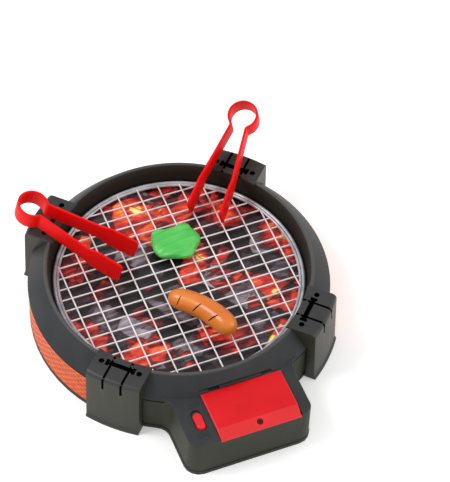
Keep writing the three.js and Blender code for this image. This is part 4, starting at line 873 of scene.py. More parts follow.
def bracket_shell():
    """The bracket's outer shape, which clears the ring's slope and lip, hollowed from below."""
    slope_gap = GAP / math.sin(math.radians(SLOPE_LEAN))
    lip = LIP_RADIUS + GAP
    foot = BRACKET_FACE_BOTTOM + BRACKET_FLARE
    # Corners as radius, height and rounding
    profile = [
        (LIP_RADIUS + 0.1 * MM, 0, 0),
        (foot, 0, 0.3 * MM),
        (foot, BRACKET_FOOT_HEIGHT, 0.5 * MM),
        (BRACKET_FACE_BOTTOM, BRACKET_FOOT_FADE, 0.8 * MM),
        (BRACKET_FACE_TOP, BRACKET_TOP, BRACKET_SHOULDER),
        (BRACKET_INNER, BRACKET_TOP, 0.7 * MM),
        (BRACKET_INNER, BRACKET_UNDER, 0.3 * MM),
        (LIP_RADIUS + slope_gap - (BRACKET_UNDER - LIP_HEIGHT) * -SLOPE.x / SLOPE.y, BRACKET_UNDER, 0),
        (lip, slope_height(lip - slope_gap), 0),
        (lip, DRUM_FOOT, 0),
    ]
    inside = LIP_RADIUS - OVERRUN
    slope_inside = 115.7 * MM
    face_inside = BRACKET_FACE_TOP - WALL
    hollow = [
        (inside, -OVERRUN),
        (BRACKET_FACE_BOTTOM - WALL, -OVERRUN),
        (face_inside, BRACKET_TOP - BRACKET_SHOULDER),
        (face_inside - 2 * MM, BRACKET_UNDER),
        (slope_inside, BRACKET_UNDER),
        (inside, slope_height(inside)),
    ]
    made = bracket_slab(softened(profile, 6), BRACKET_HALF, BRACKET_EDGE)
    return combined(made, [bracket_slab(hollow, BRACKET_HALF - WALL - GAP)], smooth=40)


def clamp_bracket():
    """The bracket with its cross slot, two screw holes and two grooves that run on down its face."""
    slot, hole, groove, drop = (
        (BRACKET_TOP - depth, BRACKET_TOP + OVERRUN)
        for depth in (BRACKET_SLOT_DEPTH, BRACKET_HOLE_DEPTH, BRACKET_GROOVE_DEPTH, BRACKET_GROOVE_DROP)
    )
    slot_x = around(BRACKET_SLOT_X, BRACKET_SLOT_HALF)
    # The slot, the holes and the grooves are cut with painted shade, which their walls keep
    cuts = [block(slot_x, around(0, BRACKET_SLOT_REACH), slot, PAINTED_SHADE)]
    end_x, end_half = BRACKET_SLOT_END
    # A thin web is left on the shoulder, between the groove in the top and the one in the face
    top_x = (BRACKET_INNER - OVERRUN, BRACKET_FACE_TOP - 2 * MM)
    face_x = (BRACKET_FACE_TOP - 1.6 * MM, BRACKET_FACE_BOTTOM + OVERRUN)
    for side in (-1, 1):
        end_y = around(side * BRACKET_SLOT_REACH, end_half)
        groove_y = around(side * BRACKET_GROOVE_SIDE, BRACKET_GROOVE_HALF)
        cuts += [
            block(around(BRACKET_SLOT_X, end_x), end_y, slot, PAINTED_SHADE),
            peg(BRACKET_SCREW_X, side * BRACKET_SCREW_SIDE, BRACKET_HOLE_RADIUS, hole, PAINTED_SHADE),
            block(top_x, groove_y, groove, PAINTED_SHADE),
            block(face_x, groove_y, drop, PAINTED_SHADE),
        ]
    return combined(bracket_shell(), cuts, smooth=40)


pattern_bracket = clamp_bracket()
for corner, degrees in BRACKET_ANGLES.items():
    mesh = pattern_bracket.data.copy()
    mesh.transform(Matrix.Rotation(math.radians(degrees), 4, "Z"))
    settle(placed("bracket_" + corner, mesh), "housing", "bracket_plastic", "clamp_bracket_" + corner)
bpy.data.objects.remove(pattern_bracket)


# Side panels with an embossed diamond lattice


def lattice(along, up):
    """Height of the lattice from 0, in the middle of a diamond, to 1 on its raised lines."""
    near = 0
    for lean in (1, -1):
        phase = along / DIAMOND_WIDTH + lean * up / DIAMOND_HEIGHT
        near = max(near, abs(phase - math.floor(phase) - 0.5) * 2)
    return max(0.0, min(1.0, (near - 0.45) / 0.4)) ** 1.5


def side_panel(place, degrees):
    """A curved plate whose face carries the lattice inside a plain border with an eased edge."""
    node = "side_panel_" + place
    low, high = (corner.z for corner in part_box(node))
    outer = DRUM_RADIUS + PANEL_THICKNESS
    inner = DRUM_RADIUS + GAP
    columns, rows = 300, 66
    rings, raised = [], []
    for column in range(columns + 1):
        angle = PANEL_HALF * (2 * column / columns - 1)
        turn = angle + math.radians(degrees)
        section = []
        for row in range(rows + 1):
            up = low + (high - low) * row / rows
            border = min(up - low, high - up, (PANEL_HALF - abs(angle)) * outer)
            shape = lattice(angle * outer, up) if border > PANEL_BORDER else 1.0
            drop = PANEL_EDGE_DROP * max(0.0, 1 - border / PANEL_EDGE) ** 2
            section.append((outer - PANEL_RELIEF * (1 - shape) - drop, up))
            raised.append(shape)
        section += [(inner, high), (inner, low)]
        raised += [1.0, 1.0]
        rings.append([(radius * math.cos(turn), radius * math.sin(turn), up) for radius, up in section])
    piece = lofted("panel_" + place, rings, PANEL, 50)
    piece.data.attributes.new("raised", "FLOAT", "POINT").data.foreach_set("value", raised)
    settle(piece, "housing", "panel_plastic", node)


side_panel("right", 0)
side_panel("back", 90)
side_panel("left", 180)


# Grate: wires by geometry nodes, laid over a double-beaded rim


def growing_tree(name, sizes, counts=()):
    """A geometry node tree with named inputs for its sizes and counts: the tree and its given values."""
    tree = bpy.data.node_groups.new(name, "GeometryNodeTree")
    kinds = {"Geometry": "Geometry", **dict.fromkeys(counts, "Int"), **dict.fromkeys(sizes, "Float")}
    for title, kind in {**kinds, "Material": "Material"}.items():
        tree.interface.new_socket(title, in_out="INPUT", socket_type="NodeSocket" + kind)
    tree.interface.new_socket("Geometry", in_out="OUTPUT", socket_type="NodeSocketGeometry")
    return tree, add(tree, "NodeGroupInput").outputs


def finish_tree(tree, shape, material):
    """Ends a tree with smooth, real geometry in its material."""
    smooth = add(tree, "GeometryNodeSetShadeSmooth", {"Geometry": shape})
    real = add(tree, "GeometryNodeRealizeInstances", {"Geometry": smooth})
    finished = add(tree, "GeometryNodeSetMaterial", {"Geometry": real, "Material": material})
    add(tree, "NodeGroupOutput", {"Geometry": finished})
    return tree


def grown(name, tree, values, places=(), smooth=35):
    """A plain mesh made by a geometry node tree from its named inputs, at the places given."""
    mesh = bpy.data.meshes.new(name)
    mesh.from_pydata(list(places), [], [])
    piece = placed(name, mesh)
    modifier = piece.modifiers.new("grown", "NODES")
    modifier.node_group = tree
    for socket in tree.interface.items_tree:
        if socket.in_out == "INPUT" and socket.name in values:
            modifier[socket.identifier] = values[socket.name]
    piece.update_tag()
    return tidied(applied(piece), smooth)


def wire_rows_tree():
    """A row of straight round wires, each as long as the chord of the rim that it crosses."""
    tree, given = growing_tree("wire_rows", ("Pitch", "Reach", "Wire radius", "Height", "Turn"), ["Wires"])
    last = add(tree, "ShaderNodeMath", {0: given["Wires"], 1: 1.0}, operation="SUBTRACT")
    half_last = add(tree, "ShaderNodeMath", {0: last, 1: 0.5}, operation="MULTIPLY")
    number = add(tree, "GeometryNodeInputIndex")
    from_middle = add(tree, "ShaderNodeMath", {0: number, 1: half_last}, operation="SUBTRACT")
    offset = add(tree, "ShaderNodeMath", {0: from_middle, 1: given["Pitch"]}, operation="MULTIPLY")
    spot = add(tree, "ShaderNodeCombineXYZ", {"Y": offset, "Z": given["Height"]})
    points = add(tree, "GeometryNodePoints", {"Count": given["Wires"], "Position": spot})
    # Half a chord is the root of the reach squared less the offset squared
    squares = [add(tree, "ShaderNodeMath", {0: side, 1: 2.0}, operation="POWER")
               for side in (given["Reach"], offset)]
    left = add(tree, "ShaderNodeMath", dict(enumerate(squares)), operation="SUBTRACT")
    half = add(tree, "ShaderNodeMath", {0: left}, operation="SQRT")
    size = add(tree, "ShaderNodeCombineXYZ", {"X": half, "Y": 1.0, "Z": 1.0})
    unit = add(tree, "GeometryNodeCurvePrimitiveLine", {"Start": (-1, 0, 0), "End": (1, 0, 0)})
    rows = add(tree, "GeometryNodeInstanceOnPoints", {"Points": points, "Instance": unit, "Scale": size})
    lines = add(tree, "GeometryNodeRealizeInstances", {"Geometry": rows})
    ring_size = {"Resolution": 12, "Radius": given["Wire radius"]}
    ring = add(tree, "GeometryNodeCurvePrimitiveCircle", ring_size)
    swept = {"Curve": lines, "Profile Curve": ring, "Fill Caps": True}
    tubes = add(tree, "GeometryNodeCurveToMesh", swept)
    turn = add(tree, "ShaderNodeCombineXYZ", {"Z": given["Turn"]})
    turned_rows = add(tree, "GeometryNodeTransform", {"Geometry": tubes, "Rotation": turn})
    return finish_tree(tree, turned_rows, given["Material"])


def grate_rim():
    """Two round beads with a shallow valley between them, over a flat underside."""
    height = BEAD_TOP - BEAD_RADIUS
    inner_x = RIM_RADIUS - RIM_WIDTH + BEAD_RADIUS
    outer_bead = arc(RIM_RADIUS - BEAD_RADIUS, height, BEAD_RADIUS, -60, 150, 12)
    return turned("grate_rim", outer_bead + arc(inner_x, height, BEAD_RADIUS, 30, 240, 12), RIM, 60)


rows_tree = wire_rows_tree()
every_row = {"Reach": WIRE_REACH, "Wire radius": WIRE_RADIUS, "Material": WIRE}
for name, count, pitch, height, turn in (
    ("grate_wires_across", 17, ACROSS_PITCH, LOWER_WIRES, 0.0),
    ("grate_wires_along", 11, ALONG_PITCH, UPPER_WIRES, math.pi / 2),
):
    row = {"Wires": count, "Pitch": pitch, "Height": height, "Turn": turn}
    settle(grown(name, rows_tree, {**every_row, **row}), "grate", "grate_metal")
settle(grate_rim(), "grate", "grate_metal", "grate")


# Battery cover


def cover_outline(drop):
    """The cover's side view as (outward, height) points, with its top lowered by a drop."""
    lip_back = BOX_FRONT + GAP
    lip_foot = COVER_FRONT_HEIGHT - COVER_LIP
    strip_under = COVER_FRONT_HEIGHT - COVER_THICKNESS / math.cos(STRIP_LEAN)
    corners = [
        (COVER_BACK, COVER_UNDER, 0),
        (COVER_BACK, COVER_TOP - drop, COVER_EDGE),
        (COVER_BEND, COVER_TOP - drop, COVER_BEND_ROUND),
        (COVER_FRONT, COVER_FRONT_HEIGHT - drop, COVER_EDGE),
        (COVER_FRONT, lip_foot, 0),
        (lip_back, lip_foot, 0),
        (lip_back, strip_under + (COVER_FRONT - lip_back) * STRIP_SLOPE, 0),
        (COVER_BEND, COVER_UNDER, 0),
    ]
    return softened(corners)


def battery_cover():
    """A bent plate with chamfered sides, ribs that fit into the opening, and a sunk screw hole."""
    reach = COVER_HALF - COVER_CHAMFER
    drops = {-COVER_HALF: COVER_CHAMFER / 2, -reach: 0, reach: 0, COVER_HALF: COVER_CHAMFER / 2}
    rings = [
        [(COVER_MIDDLE + side, -outward, height) for outward, height in cover_outline(drop)]
        for side, drop in drops.items()
    ]
    made = lofted("battery_cover_plate", rings, COVER, 20)
    foot = COVER_UNDER - COVER_RIB_DEPTH
    ribs, inside = (
        block(
            around(COVER_MIDDLE, OPENING_HALF - less), (less - OPENING_FRONT, -OPENING_BACK - less), heights,
            COVER,
        )
        for less, heights in (
            (TAB_ROOM, (foot, COVER_UNDER + COVER_THICKNESS / 2)),
            (TAB_ROOM + COVER_RIB, (foot - OVERRUN, COVER_UNDER + 2 * OVERRUN)),
        )
    )
    combined(made, [combined(ribs, [inside])], "UNION", 20)
    # The screw hole's wall is painted shade
    hole = strip_peg(COVER_HOLE_RADIUS, (-COVER_HOLE_DEPTH, OVERRUN), PAINTED_SHADE)
    sink = strip_peg(COVER_SINK_RADIUS, (-COVER_SINK_DEPTH, OVERRUN), COVER, 40)
    combined(made, [hole, sink], "DIFFERENCE", 20)
    # The leaning faces are matt, with a paler red that is a painted highlight
    made.data.materials.append(COVER_PAINTED_HIGHLIGHT)
    for face in made.data.polygons:
        if 0.2 < face.normal.z < 0.97 and face.material_index == 0:
            face.material_index = len(made.data.materials) - 1
    return made


def hinge_tab(number, spread):
    """A dark tab that reaches from the cover's back edge into its slot in the ring; its dark grey is painted
    shade.
    """
    low = COVER_UNDER + TAB_LIFT
    y_span = (-COVER_BACK - OVERRUN, TAB_REACH - HINGE_OUTWARD)
    x_span = around(COVER_MIDDLE + spread, TAB_HALF)
    tab = block(x_span, y_span, (low, low + TAB_THICKNESS), BRACKET, f"cover_tab_{number}")
    settle(tab, "battery_cover", "bracket_plastic")


settle(battery_cover(), "battery_cover", "cover_plastic", "battery_cover")
hinge_tab(1, -TAB_SPREAD)
hinge_tab(2, TAB_SPREAD)


# Screws, repeated by geometry nodes


def screw_tree():
    """A tapered head with a cross recess on a plain shank, hung below each point and then tilted."""
    sizes = ("Head radius", "Head height", "Shank radius", "Shank length", "Tilt")
    tree, given = growing_tree("cross_head_screws", sizes)
    radius, height, length = given["Head radius"], given["Head height"], given["Shank length"]
    shares = {
        "top_radius": (radius, 0.72), "arm": (radius, 1.15), "thin": (radius, 0.26),
        "deep": (height, 1.1), "head_foot": (height, -1.0), "half_head": (height, -0.5),
    }
    part = {
        name: add(tree, "ShaderNodeMath", {0: whole, 1: share}, operation="MULTIPLY")
        for name, (whole, share) in shares.items()
    }
    drum_sizes = {"Vertices": 28, "Radius Top": part["top_radius"], "Radius Bottom": radius, "Depth": height}
    drum = add(tree, "GeometryNodeMeshCone", drum_sizes, fill_type="NGON")
    rod_sizes = {"Vertices": 16, "Radius": given["Shank radius"], "Depth": length}
    rod = add(tree, "GeometryNodeMeshCylinder", rod_sizes, fill_type="NGON")
    rod_middle = add(tree, "ShaderNodeMath", {0: part["half_head"], 1: length}, operation="SUBTRACT")
    solids = []
    for solid, drop in ((drum, part["head_foot"]), (rod, rod_middle)):
        down = add(tree, "ShaderNodeCombineXYZ", {"Z": drop})
        solids.append(add(tree, "GeometryNodeTransform", {"Geometry": solid, "Translation": down}))
    bars = []
    for x, y in ((part["arm"], part["thin"]), (part["thin"], part["arm"])):
        bar_size = add(tree, "ShaderNodeCombineXYZ", {"X": x, "Y": y, "Z": part["deep"]})
        bars.append(add(tree, "GeometryNodeMeshCube", {"Size": bar_size}))
    whole = add(tree, "GeometryNodeMeshBoolean", {"Mesh 2": solids}, operation="UNION")
    cut = {"Mesh 1": whole, "Mesh 2": bars}
    crossed = add(tree, "GeometryNodeMeshBoolean", cut, operation="DIFFERENCE")
    lean = add(tree, "ShaderNodeCombineXYZ", {"X": given["Tilt"]})
    spread = {"Points": given["Geometry"], "Instance": crossed, "Rotation": lean}
    return finish_tree(tree, add(tree, "GeometryNodeInstanceOnPoints", spread), given["Material"])


screws = screw_tree()


def screw_set(name, places, sizes, tilt, metal, body, nodes):
    """Screws with the tops of their heads at the given places.

    Sizes are the head's radius and height and the shank's radius and length, in millimetres.
    """
    titles = ("Head radius", "Head height", "Shank radius", "Shank length")
    values = {title: size * MM for title, size in zip(titles, sizes)}
    made = grown(name, screws, {**values, "Tilt": tilt, "Material": metal}, places, 30)
    settle(made, body, "screw_metal", *nodes)


bracket_screws = {
    f"bracket_screw_{corner}_{number}": Matrix.Rotation(math.radians(degrees), 3, "Z")
    @ Vector((BRACKET_SCREW_X, side * BRACKET_SCREW_SIDE, BRACKET_UNDER))
    for corner, degrees in BRACKET_ANGLES.items()
    for number, side in ((1, -1), (2, 1))
}
bracket_sizes = (1.6, 1.2, 0.85, 8.4)
screw_set("bracket_screws", bracket_screws.values(), bracket_sizes, 0.0, SCREW, "housing", bracket_screws)
case_screws = {}
for number in range(1, 6):
    low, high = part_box(f"case_screw_{number}")
    middle = (low + high) / 2
    case_screws[f"case_screw_{number}"] = (middle.x, middle.y, low.z)
case_sizes = (2.7, 1.8, 1.2, 12)
screw_set("case_screws", case_screws.values(), case_sizes, math.pi, ZINC, "housing", case_screws)
cover_screw_top = COVER_SCREW + Matrix.Rotation(STRIP_LEAN, 3, "X") @ Vector((0, 0, COVER_SCREW_RISE))
screw_set(
    "cover_cross_screw", [cover_screw_top], (2.3, 0.9, 1.1, 5), STRIP_LEAN, SCREW_PAINTED_RED, "battery_cover",
    ["cover_screw"],
)


# Switch slider


def switch_slider():
    """A rounded pill with a finger dip, on a stem that reaches down through the deck."""
    low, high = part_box("switch_slider")
    middle_y = high.y - SLIDER_LENGTH / 2
    foot = DECK_HEIGHT - RECESS_DEPTH + GAP
    rings = []
    for height, inset in [(foot, 0), *quarter_round(SLIDER_TOP, SLIDER_ROUND)]:
        outline = stadium(SWITCH_X, middle_y, SLIDER_LENGTH - 2 * inset, SLIDER_WIDTH - 2 * inset, 18)
        rings.append([(x, y, height) for x, y in outline])
    pill = lofted("slider_pill", rings, SLIDER, 40)
    stem_x = around(SWITCH_X, STEM_HALF_WIDTH)
    stem = block(stem_x, around(middle_y, STEM_HALF_LENGTH), (low.z, foot + OVERRUN), SLIDER)
    combined(pill, [stem], "UNION", 40)
    dip = arc(-middle_y - DIP_SHIFT, SLIDER_TOP + DIP_RISE, DIP_RADIUS, 180, 360, 24)
    return combined(pill, [crosswise(dip, around(SWITCH_X, SLIDER_WIDTH), SLIDER)], "DIFFERENCE", 40)


settle(switch_slider(), "switch_slider", "switch_plastic", "switch_slider")


# Tongs: one springy strip each, made as two halves that meet at the back of the loop

STRIP_HALF = 8 * MM
PADDLE_HALF = 11 * MM
PADDLE_CORNER = 3.4 * MM
WIDENS_FROM = 54 * MM
WIDENS_OVER = 13 * MM
STRIP_THICKNESS = 2 * MM
STRIP_EDGE = 0.7 * MM
LOOP_BEND = 11.7 * MM
NECK_BEND = [(9.9 * MM, 6.9 * MM), (10.9 * MM, 6.55 * MM)]  # where the loop turns into the neck
NECK = Vector((12.6 * MM, 6.8 * MM))
ARM_BEND = Vector((58 * MM, 12.6 * MM))
TIP = Vector((89 * MM, 13.9 * MM))
HINGE_AHEAD = 12.75 * MM  # from the loop's middle to the line on which the arms bend


def tongs_path(side):
    """Middle line of half a strip as (x, y) points, from the back of the loop to the tip."""
    points = arc(0, 0, LOOP_BEND, 180, 40, 32) + NECK_BEND + [tuple(NECK)]
    for start, end, steps in ((NECK, ARM_BEND, 14), (ARM_BEND, TIP, 12)):
        points += [tuple(start.lerp(end, step / steps)) for step in range(1, steps + 1)]
    # The last steps get shorter, for the rounded tip
    before, tip = Vector(points[-2]), Vector(points[-1])
    closer = [tuple(tip.lerp(before, share)) for share in (0.9, 0.75, 0.6, 0.45, 0.3, 0.18, 0.08, 0.02)]
    points[-1:] = closer + points[-1:]
    return [Vector((x, side * y)) for x, y in points]


def eased_end(full, corner, left):
    """Half a size near a rounded end, from its full value and what is left to the end."""
    into = min(max(corner - left, 0), corner)
    return full - corner + math.sqrt(corner**2 - into**2)


def strip_half(x):
    """Half of the strip's width at a place along the tongs."""
    if x > WIDENS_FROM + WIDENS_OVER:
        return eased_end(PADDLE_HALF, PADDLE_CORNER, TIP.x - x)
    share = max(x - WIDENS_FROM, 0) / WIDENS_OVER
    return STRIP_HALF + (PADDLE_HALF - STRIP_HALF) * share * share * (3 - 2 * share)


def tongs_half(name, side):
    """Half of a strip, with its long edges and its tip rounded."""
    path = tongs_path(side)
    rings = []
    for i, point in enumerate(path):
        along = (path[min(i + 1, len(path) - 1)] - path[max(i - 1, 0)]).normalized()
        if i == 0:
            along = Vector((0, side))
        half = strip_half(point.x)
        thick = eased_end(STRIP_THICKNESS / 2, STRIP_EDGE, TIP.x - point.x)
        edge = min(STRIP_EDGE, 0.95 * thick)
        corners = [(-thick, -half, edge), (thick, -half, edge), (thick, half, edge), (-thick, half, edge)]
        rings.append([(point.x - along.y * u, point.y + along.x * u, v) for u, v in softened(corners)])
    return lofted(name, rings, TONGS, 40)


def tongs_stand(body):
    """Where a pair of tongs lies, from its hinges: X runs from the loop to the tips."""
    hinges = [joint for joint in frame["joints"] if joint["name"].startswith(body + "_squeeze")]
    z_axis = Vector(hinges[0]["axis"]).normalized()
    y_axis = Vector((0, 0, 1)).cross(z_axis).normalized()
    x_axis = y_axis.cross(z_axis)
    middle = sum((Vector(hinge["pos_m"]) for hinge in hinges), Vector()) / len(hinges)
    turn = Matrix((x_axis, y_axis, z_axis)).transposed().to_4x4()
    return Matrix.Translation(middle - HINGE_AHEAD * x_axis) @ turn


for body in ("tongs_left", "tongs_right"):
    stand = tongs_stand(body)
    for number, side in ((1, -1), (2, 1)):
        half_piece = tongs_half(f"{body}_half_{number}", side)
        half_piece.data.transform(stand)
        tidied(half_piece, 40)
        nodes = [f"{body}_arm_{number}"] + ([f"{body}_loop"] if number == 1 else [])
        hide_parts(*nodes)
        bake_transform(half_piece)


# Sausage

SAUSAGE_RADIUS = 9.2 * MM
SAUSAGE_BEND = 74 * MM
SAUSAGE_HALF = math.radians(24.5)
SAUSAGE_HEADING = math.radians(-55.5)
SAUSAGE_MIDDLE = (4.6 * MM, -44.4 * MM)
SCORE_HALF = 1.05 * MM  # half of a score mark's width
SCORES = ((-0.64, -0.7), (-0.05, -0.21), (0.52, 0.35))  # where each starts and ends, as shares of its half


def sausage_point(angle, radius, turn):
    """A point at an angle along the bent sausage, so far from its middle line and turned about it."""
    out = SAUSAGE_BEND + radius * math.cos(turn)
    return out * math.sin(angle), out * math.cos(angle) - SAUSAGE_BEND, radius * math.sin(turn)


def score_mark(start, end):
    """A blade that leaves a slanting score mark down the hollow side, between shares of its length."""
    # The blade's corners: sideways in halves of its width, and above the skin in millimetres
    blade = ((-0.2, -1.4), (0.2, -1.4), (1, 0.9), (-1, 0.9))
    steps = 12
    rings = []
    for step in range(steps + 1):
        down = step / steps
        turn = math.radians(108 + 60 * down)
        angle = SAUSAGE_HALF * (start + (end - start) * down)
        half = SCORE_HALF * (0.3 + 0.7 * math.sin(math.pi * down) ** 0.6) / SAUSAGE_BEND
        rings.append([
            sausage_point(angle + aside * half, SAUSAGE_RADIUS + rise * MM, turn) for aside, rise in blade
        ])
    return lofted("cutter", rings, SCORED)


def sausage():
    """A bent sausage, a little thicker at one end, with three score marks."""
    low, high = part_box("sausage")
    stations, sides = 64, 40
    rings = []
    for i in range(1, stations):
        share = math.sin((2 * i / stations - 1) * math.pi / 2)
        radius = SAUSAGE_RADIUS * (1 + 0.04 * share) * math.sqrt(max(1 - abs(share) ** 6, 0))
        turns = [TURN * j / sides for j in range(sides)]
        rings.append([sausage_point(SAUSAGE_HALF * share, radius, turn) for turn in turns])
    made = lofted("sausage_body", rings, SAUSAGE, 60)
    combined(made, [score_mark(start, end) for start, end in SCORES], "DIFFERENCE", 50)
    middle = Matrix.Translation((*SAUSAGE_MIDDLE, (low.z + high.z) / 2))
    made.data.transform(middle @ Matrix.Rotation(SAUSAGE_HEADING, 4, "Z"))
    return made


settle(sausage(), "sausage", "sausage_vinyl", "sausage")


# Pepper slice

PEPPER_MIDDLE = Vector((9.5 * MM, 31 * MM))
PEPPER_REACH = 20 * MM
PEPPER_EVEN = (18 * MM, 16.5 * MM)  # half sizes of the even outline at its top
PEPPER_LOBE = 7.2 * MM  # from one groove to the next
PEPPER_GROOVE = 2 * MM
PEPPER_GROOVE_REACH = 19 * MM
PEPPER_OUTLINE = [
    (-0.82, 0.71), (-0.55, 0.86), (-0.19, 0.78), (0.25, 0.81), (0.54, 0.87), (0.76, 0.73), (0.84, 0.46),
    (1.0, -0.1), (0.66, -0.54), (0.3, -0.87), (-0.14, -0.77), (-0.7, -0.55), (-0.93, -0.36), (-1.0, 0.05),
]  # shares of its reach
PEPPER_LEVELS = [
    (0, 0.93), (0.08, 0.975), (0.2, 0.995), (0.4, 1.0), (0.55, 0.99), (0.68, 0.965), (0.79, 0.925),
    (0.87, 0.87), (0.93, 0.79), (0.965, 0.68), (0.976, 0.61), (0.985, 0.54), (0.991, 0.46), (0.995, 0.38),
    (0.998, 0.29), (1.0, 0.2), (1.0, 0.12), (1.0, 0.05),
]  # shares of its thickness, and its outline's size there


def closed_curve(points, count):
    """A smooth closed curve through points, with a count of points on each span."""
    curve = []
    for i in range(len(points)):
        a, b, c, d = (Vector(points[(i + k) % len(points)]) for k in (-1, 0, 1, 2))
        bend, swing = 2 * a - 5 * b + 4 * c - d, 3 * b - a - 3 * c + d
        for t in (step / count for step in range(count)):
            curve.append(0.5 * (2 * b + (c - a) * t + bend * t**2 + swing * t**3))
    return curve


def pepper_slice():
    """A lobed slice whose outline evens out towards its grooved, rounded top."""
    low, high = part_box("pepper_slice")
    outline = [point * PEPPER_REACH for point in closed_curve(PEPPER_OUTLINE, 8)]
    rings = []
    for share, size in PEPPER_LEVELS:
        settled = min(1.0, max(0.0, (share - 0.5) / 0.45))
        ring = []
        for point in outline:
            turn = math.atan2(point.y, point.x)
            even = Vector((PEPPER_EVEN[0] * math.cos(turn), PEPPER_EVEN[1] * math.sin(turn)))
            x, y = point.lerp(even, settled * settled * (3 - 2 * settled)) * size
            groove = abs(math.cos((y - 0.12 * x) / PEPPER_LOBE * math.pi)) ** 3
            fade = max(0.0, 1 - (abs(x) / PEPPER_GROOVE_REACH) ** 3) * min(1.0, share * 1.4)
            height = low.z + (high.z - low.z) * share - PEPPER_GROOVE * groove * fade
            ring.append((PEPPER_MIDDLE.x + x, PEPPER_MIDDLE.y + y, height))
        rings.append(ring)
    return lofted("pepper_piece", rings, PEPPER, 60)


settle(pepper_slice(), "pepper_slice", "pepper_vinyl", "pepper_slice")


# Wound battery contacts: a tapering coil, by geometry nodes, on a plate

COIL_WIRE = 0.45 * MM
COIL_FOOT = 3.4 * MM
COIL_TIP = 2.2 * MM
CONTACT_THICKNESS = 0.6 * MM


def coil_tree():
    """A tapering coil of round wire that stands on each point and is then turned."""
    sizes = ("Turns", "Foot radius", "Tip radius", "Length", "Wire radius", "Turn")
    tree, given = growing_tree("contact_coil", sizes)
    winding = {"Resolution": 28, "Rotations": given["Turns"], "Start Radius": given["Foot radius"],
               "End Radius": given["Tip radius"], "Height": given["Length"]}
    coil = add(tree, "GeometryNodeCurveSpiral", winding)
    ring_size = {"Resolution": 10, "Radius": given["Wire radius"]}
    ring = add(tree, "GeometryNodeCurvePrimitiveCircle", ring_size)
    wound = add(tree, "GeometryNodeCurveToMesh", {"Curve": coil, "Profile Curve": ring, "Fill Caps": True})
    lean = add(tree, "ShaderNodeCombineXYZ", {"Y": given["Turn"]})
    spread = {"Points": given["Geometry"], "Instance": wound, "Rotation": lean}
    return finish_tree(tree, add(tree, "GeometryNodeInstanceOnPoints", spread), given["Material"])


coils = coil_tree()


def contact_spring(number, towards):
    """A contact whose coil points along X, towards the cell's end."""
    node = f"contact_spring_{number}"
    low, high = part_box(node)
    foot = low.x if towards > 0 else high.x
    face = foot + towards * CONTACT_THICKNESS
    spans = (sorted((foot, face)), (low.y, high.y), (low.z, high.z))
    settle(block(*spans, NICKEL, f"contact_back_{number}"), "housing", "contact_metal")
    values = {
        "Turns": 4.0, "Foot radius": COIL_FOOT, "Tip radius": COIL_TIP,
        "Length": high.x - low.x - CONTACT_THICKNESS - 2 * COIL_WIRE,
        "Wire radius": COIL_WIRE, "Turn": towards * math.pi / 2, "Material": NICKEL,
    }
    start = (face + towards * COIL_WIRE * 0.9, (low.y + high.y) / 2, (low.z + high.z) / 2)
    coil = grown(f"contact_coil_{number}", coils, values, [start], 60)
    settle(coil, "housing", "contact_metal", node)


contact_spring(1, 1)
contact_spring(2, -1)


# Base tray, as a smooth copy of its modelled shape, and the inner pieces that keep theirs


def base_tray():
    """The modelled tray with its loose triangles merged into smooth faces."""
    mesh = coated(frame["nodes"]["base_tray"].data.copy(), HOUSING)
    with editing(mesh) as work:
        bmesh.ops.remove_doubles(work, verts=work.verts, dist=0.002 * MM)
        bmesh.ops.dissolve_limit(work, angle_limit=math.radians(0.5), verts=work.verts, edges=work.edges)
    return tidied(placed("base_tray_smooth", mesh))


settle(base_tray(), "housing", "housing_plastic", "base_tray")

KEPT_FINISHES = {
    EMBERS: ["ember_sheet"],
    WHITE: ["light_bowl"],
    BOARD: ["lamp_board"],
    LAMP: ["lamp_1", "lamp_2", "lamp_3"],
    HOUSING: ["battery_bay"],
    SLEEVE: ["battery_cell_1", "battery_cell_2"],
    NICKEL: ["contact_plate_1", "contact_plate_2"],
    ZINC: ["slide_switch"],
}
for material, nodes in KEPT_FINISHES.items():
    for node in nodes:
        coated(frame["nodes"][node].data, material)


# Floor, light and camera

FLOOR_REACH = 6.0
LIGHTS_AIM = Vector((0, 0, 0.03))
CAMERA_PLACE = (-0.43143, -1.08922, 1.53141)  # fitted to the ring, as its turns and its lens are
CAMERA_AZIMUTH, CAMERA_ELEVATION, CAMERA_ROLL = (math.radians(a) for a in (-23.3467, 50.9748, 2.1163))
CAMERA_LENS = 177.22


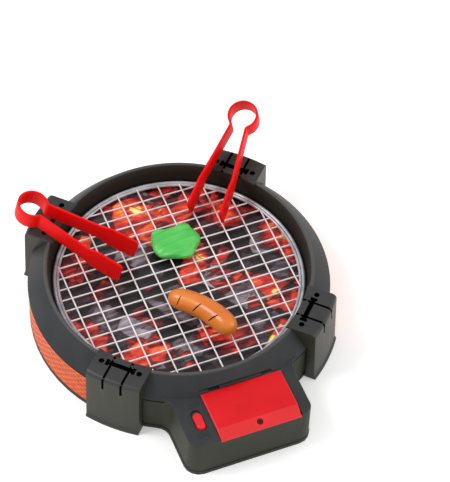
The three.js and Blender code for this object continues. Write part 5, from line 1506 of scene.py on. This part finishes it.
def pale_floor():
    """A back-lit acrylic table: it leaves hardly a shadow round the object."""
    glow = {"Specular IOR Level": 0.1, "Emission Color": linear("#FFFFFF"), "Emission Strength": 0.25}
    material, tree, shader, place = surface("back_lit_acrylic_table", glow)
    drift = add(tree, "ShaderNodeTexNoise", {"Vector": place, "Scale": 1 / (400 * MM)})
    tint = add(tree, "ShaderNodeValToRGB", {"Fac": drift}, [(0.3, "#F6F6F5"), (0.7, "#FAFAF9")])
    dull = add(tree, "ShaderNodeMapRange", {"Value": drift, "To Min": 0.85, "To Max": 0.95})
    finish_surface(tree, shader, tint, dull, drift, 0.1 * MM)
    corners = [(FLOOR_REACH * x, FLOOR_REACH * y, 0) for x, y in ((-1, -1), (1, -1), (1, 1), (-1, 1))]
    mesh = bpy.data.meshes.new("floor")
    mesh.from_pydata(corners, [], [(0, 1, 2, 3)])
    floor = placed("floor", coated(mesh, material))


def soft_light(name, place, size, power):
    """A round soft box aimed at the object."""
    data = bpy.data.lights.new(name, "AREA")
    data.shape = "DISK"
    data.size = size
    data.energy = power
    lamp = placed(name, data)
    lamp.location = place
    lamp.rotation_euler = (LIGHTS_AIM - Vector(place)).to_track_quat("-Z", "Y").to_euler()


def photo_camera():
    """The camera that takes the photograph."""
    right = Vector((math.cos(CAMERA_AZIMUTH), math.sin(CAMERA_AZIMUTH), 0))
    level_back = Vector((right.y, -right.x, 0))
    back = level_back * math.cos(CAMERA_ELEVATION) + Vector((0, 0, math.sin(CAMERA_ELEVATION)))
    up = back.cross(right)
    image_right = right * math.cos(CAMERA_ROLL) + up * math.sin(CAMERA_ROLL)
    image_up = up * math.cos(CAMERA_ROLL) - right * math.sin(CAMERA_ROLL)
    data = bpy.data.cameras.new("photo_camera")
    data.sensor_fit = "VERTICAL"
    data.sensor_height = 36
    data.lens = CAMERA_LENS
    data.clip_end = 50
    camera = placed("photo_camera", data)
    turn = Matrix((image_right, image_up, back)).transposed().to_4x4()
    camera.matrix_world = Matrix.Translation(CAMERA_PLACE) @ turn
    bpy.context.scene.camera = camera


pale_floor()
world = bpy.data.worlds.new("studio")
world.use_nodes = True
sky = world.node_tree.nodes["Background"].inputs
sky["Color"].default_value = linear("#FFFFFF")
sky["Strength"].default_value = 0.75
bpy.context.scene.world = world
soft_light("key_light", (-1.1, 0.3, 1.5), 0.9, 16)
soft_light("fill_light", (1.3, -0.9, 0.9), 1.2, 8)
photo_camera()
bpy.context.scene.view_settings.view_transform = "Standard"
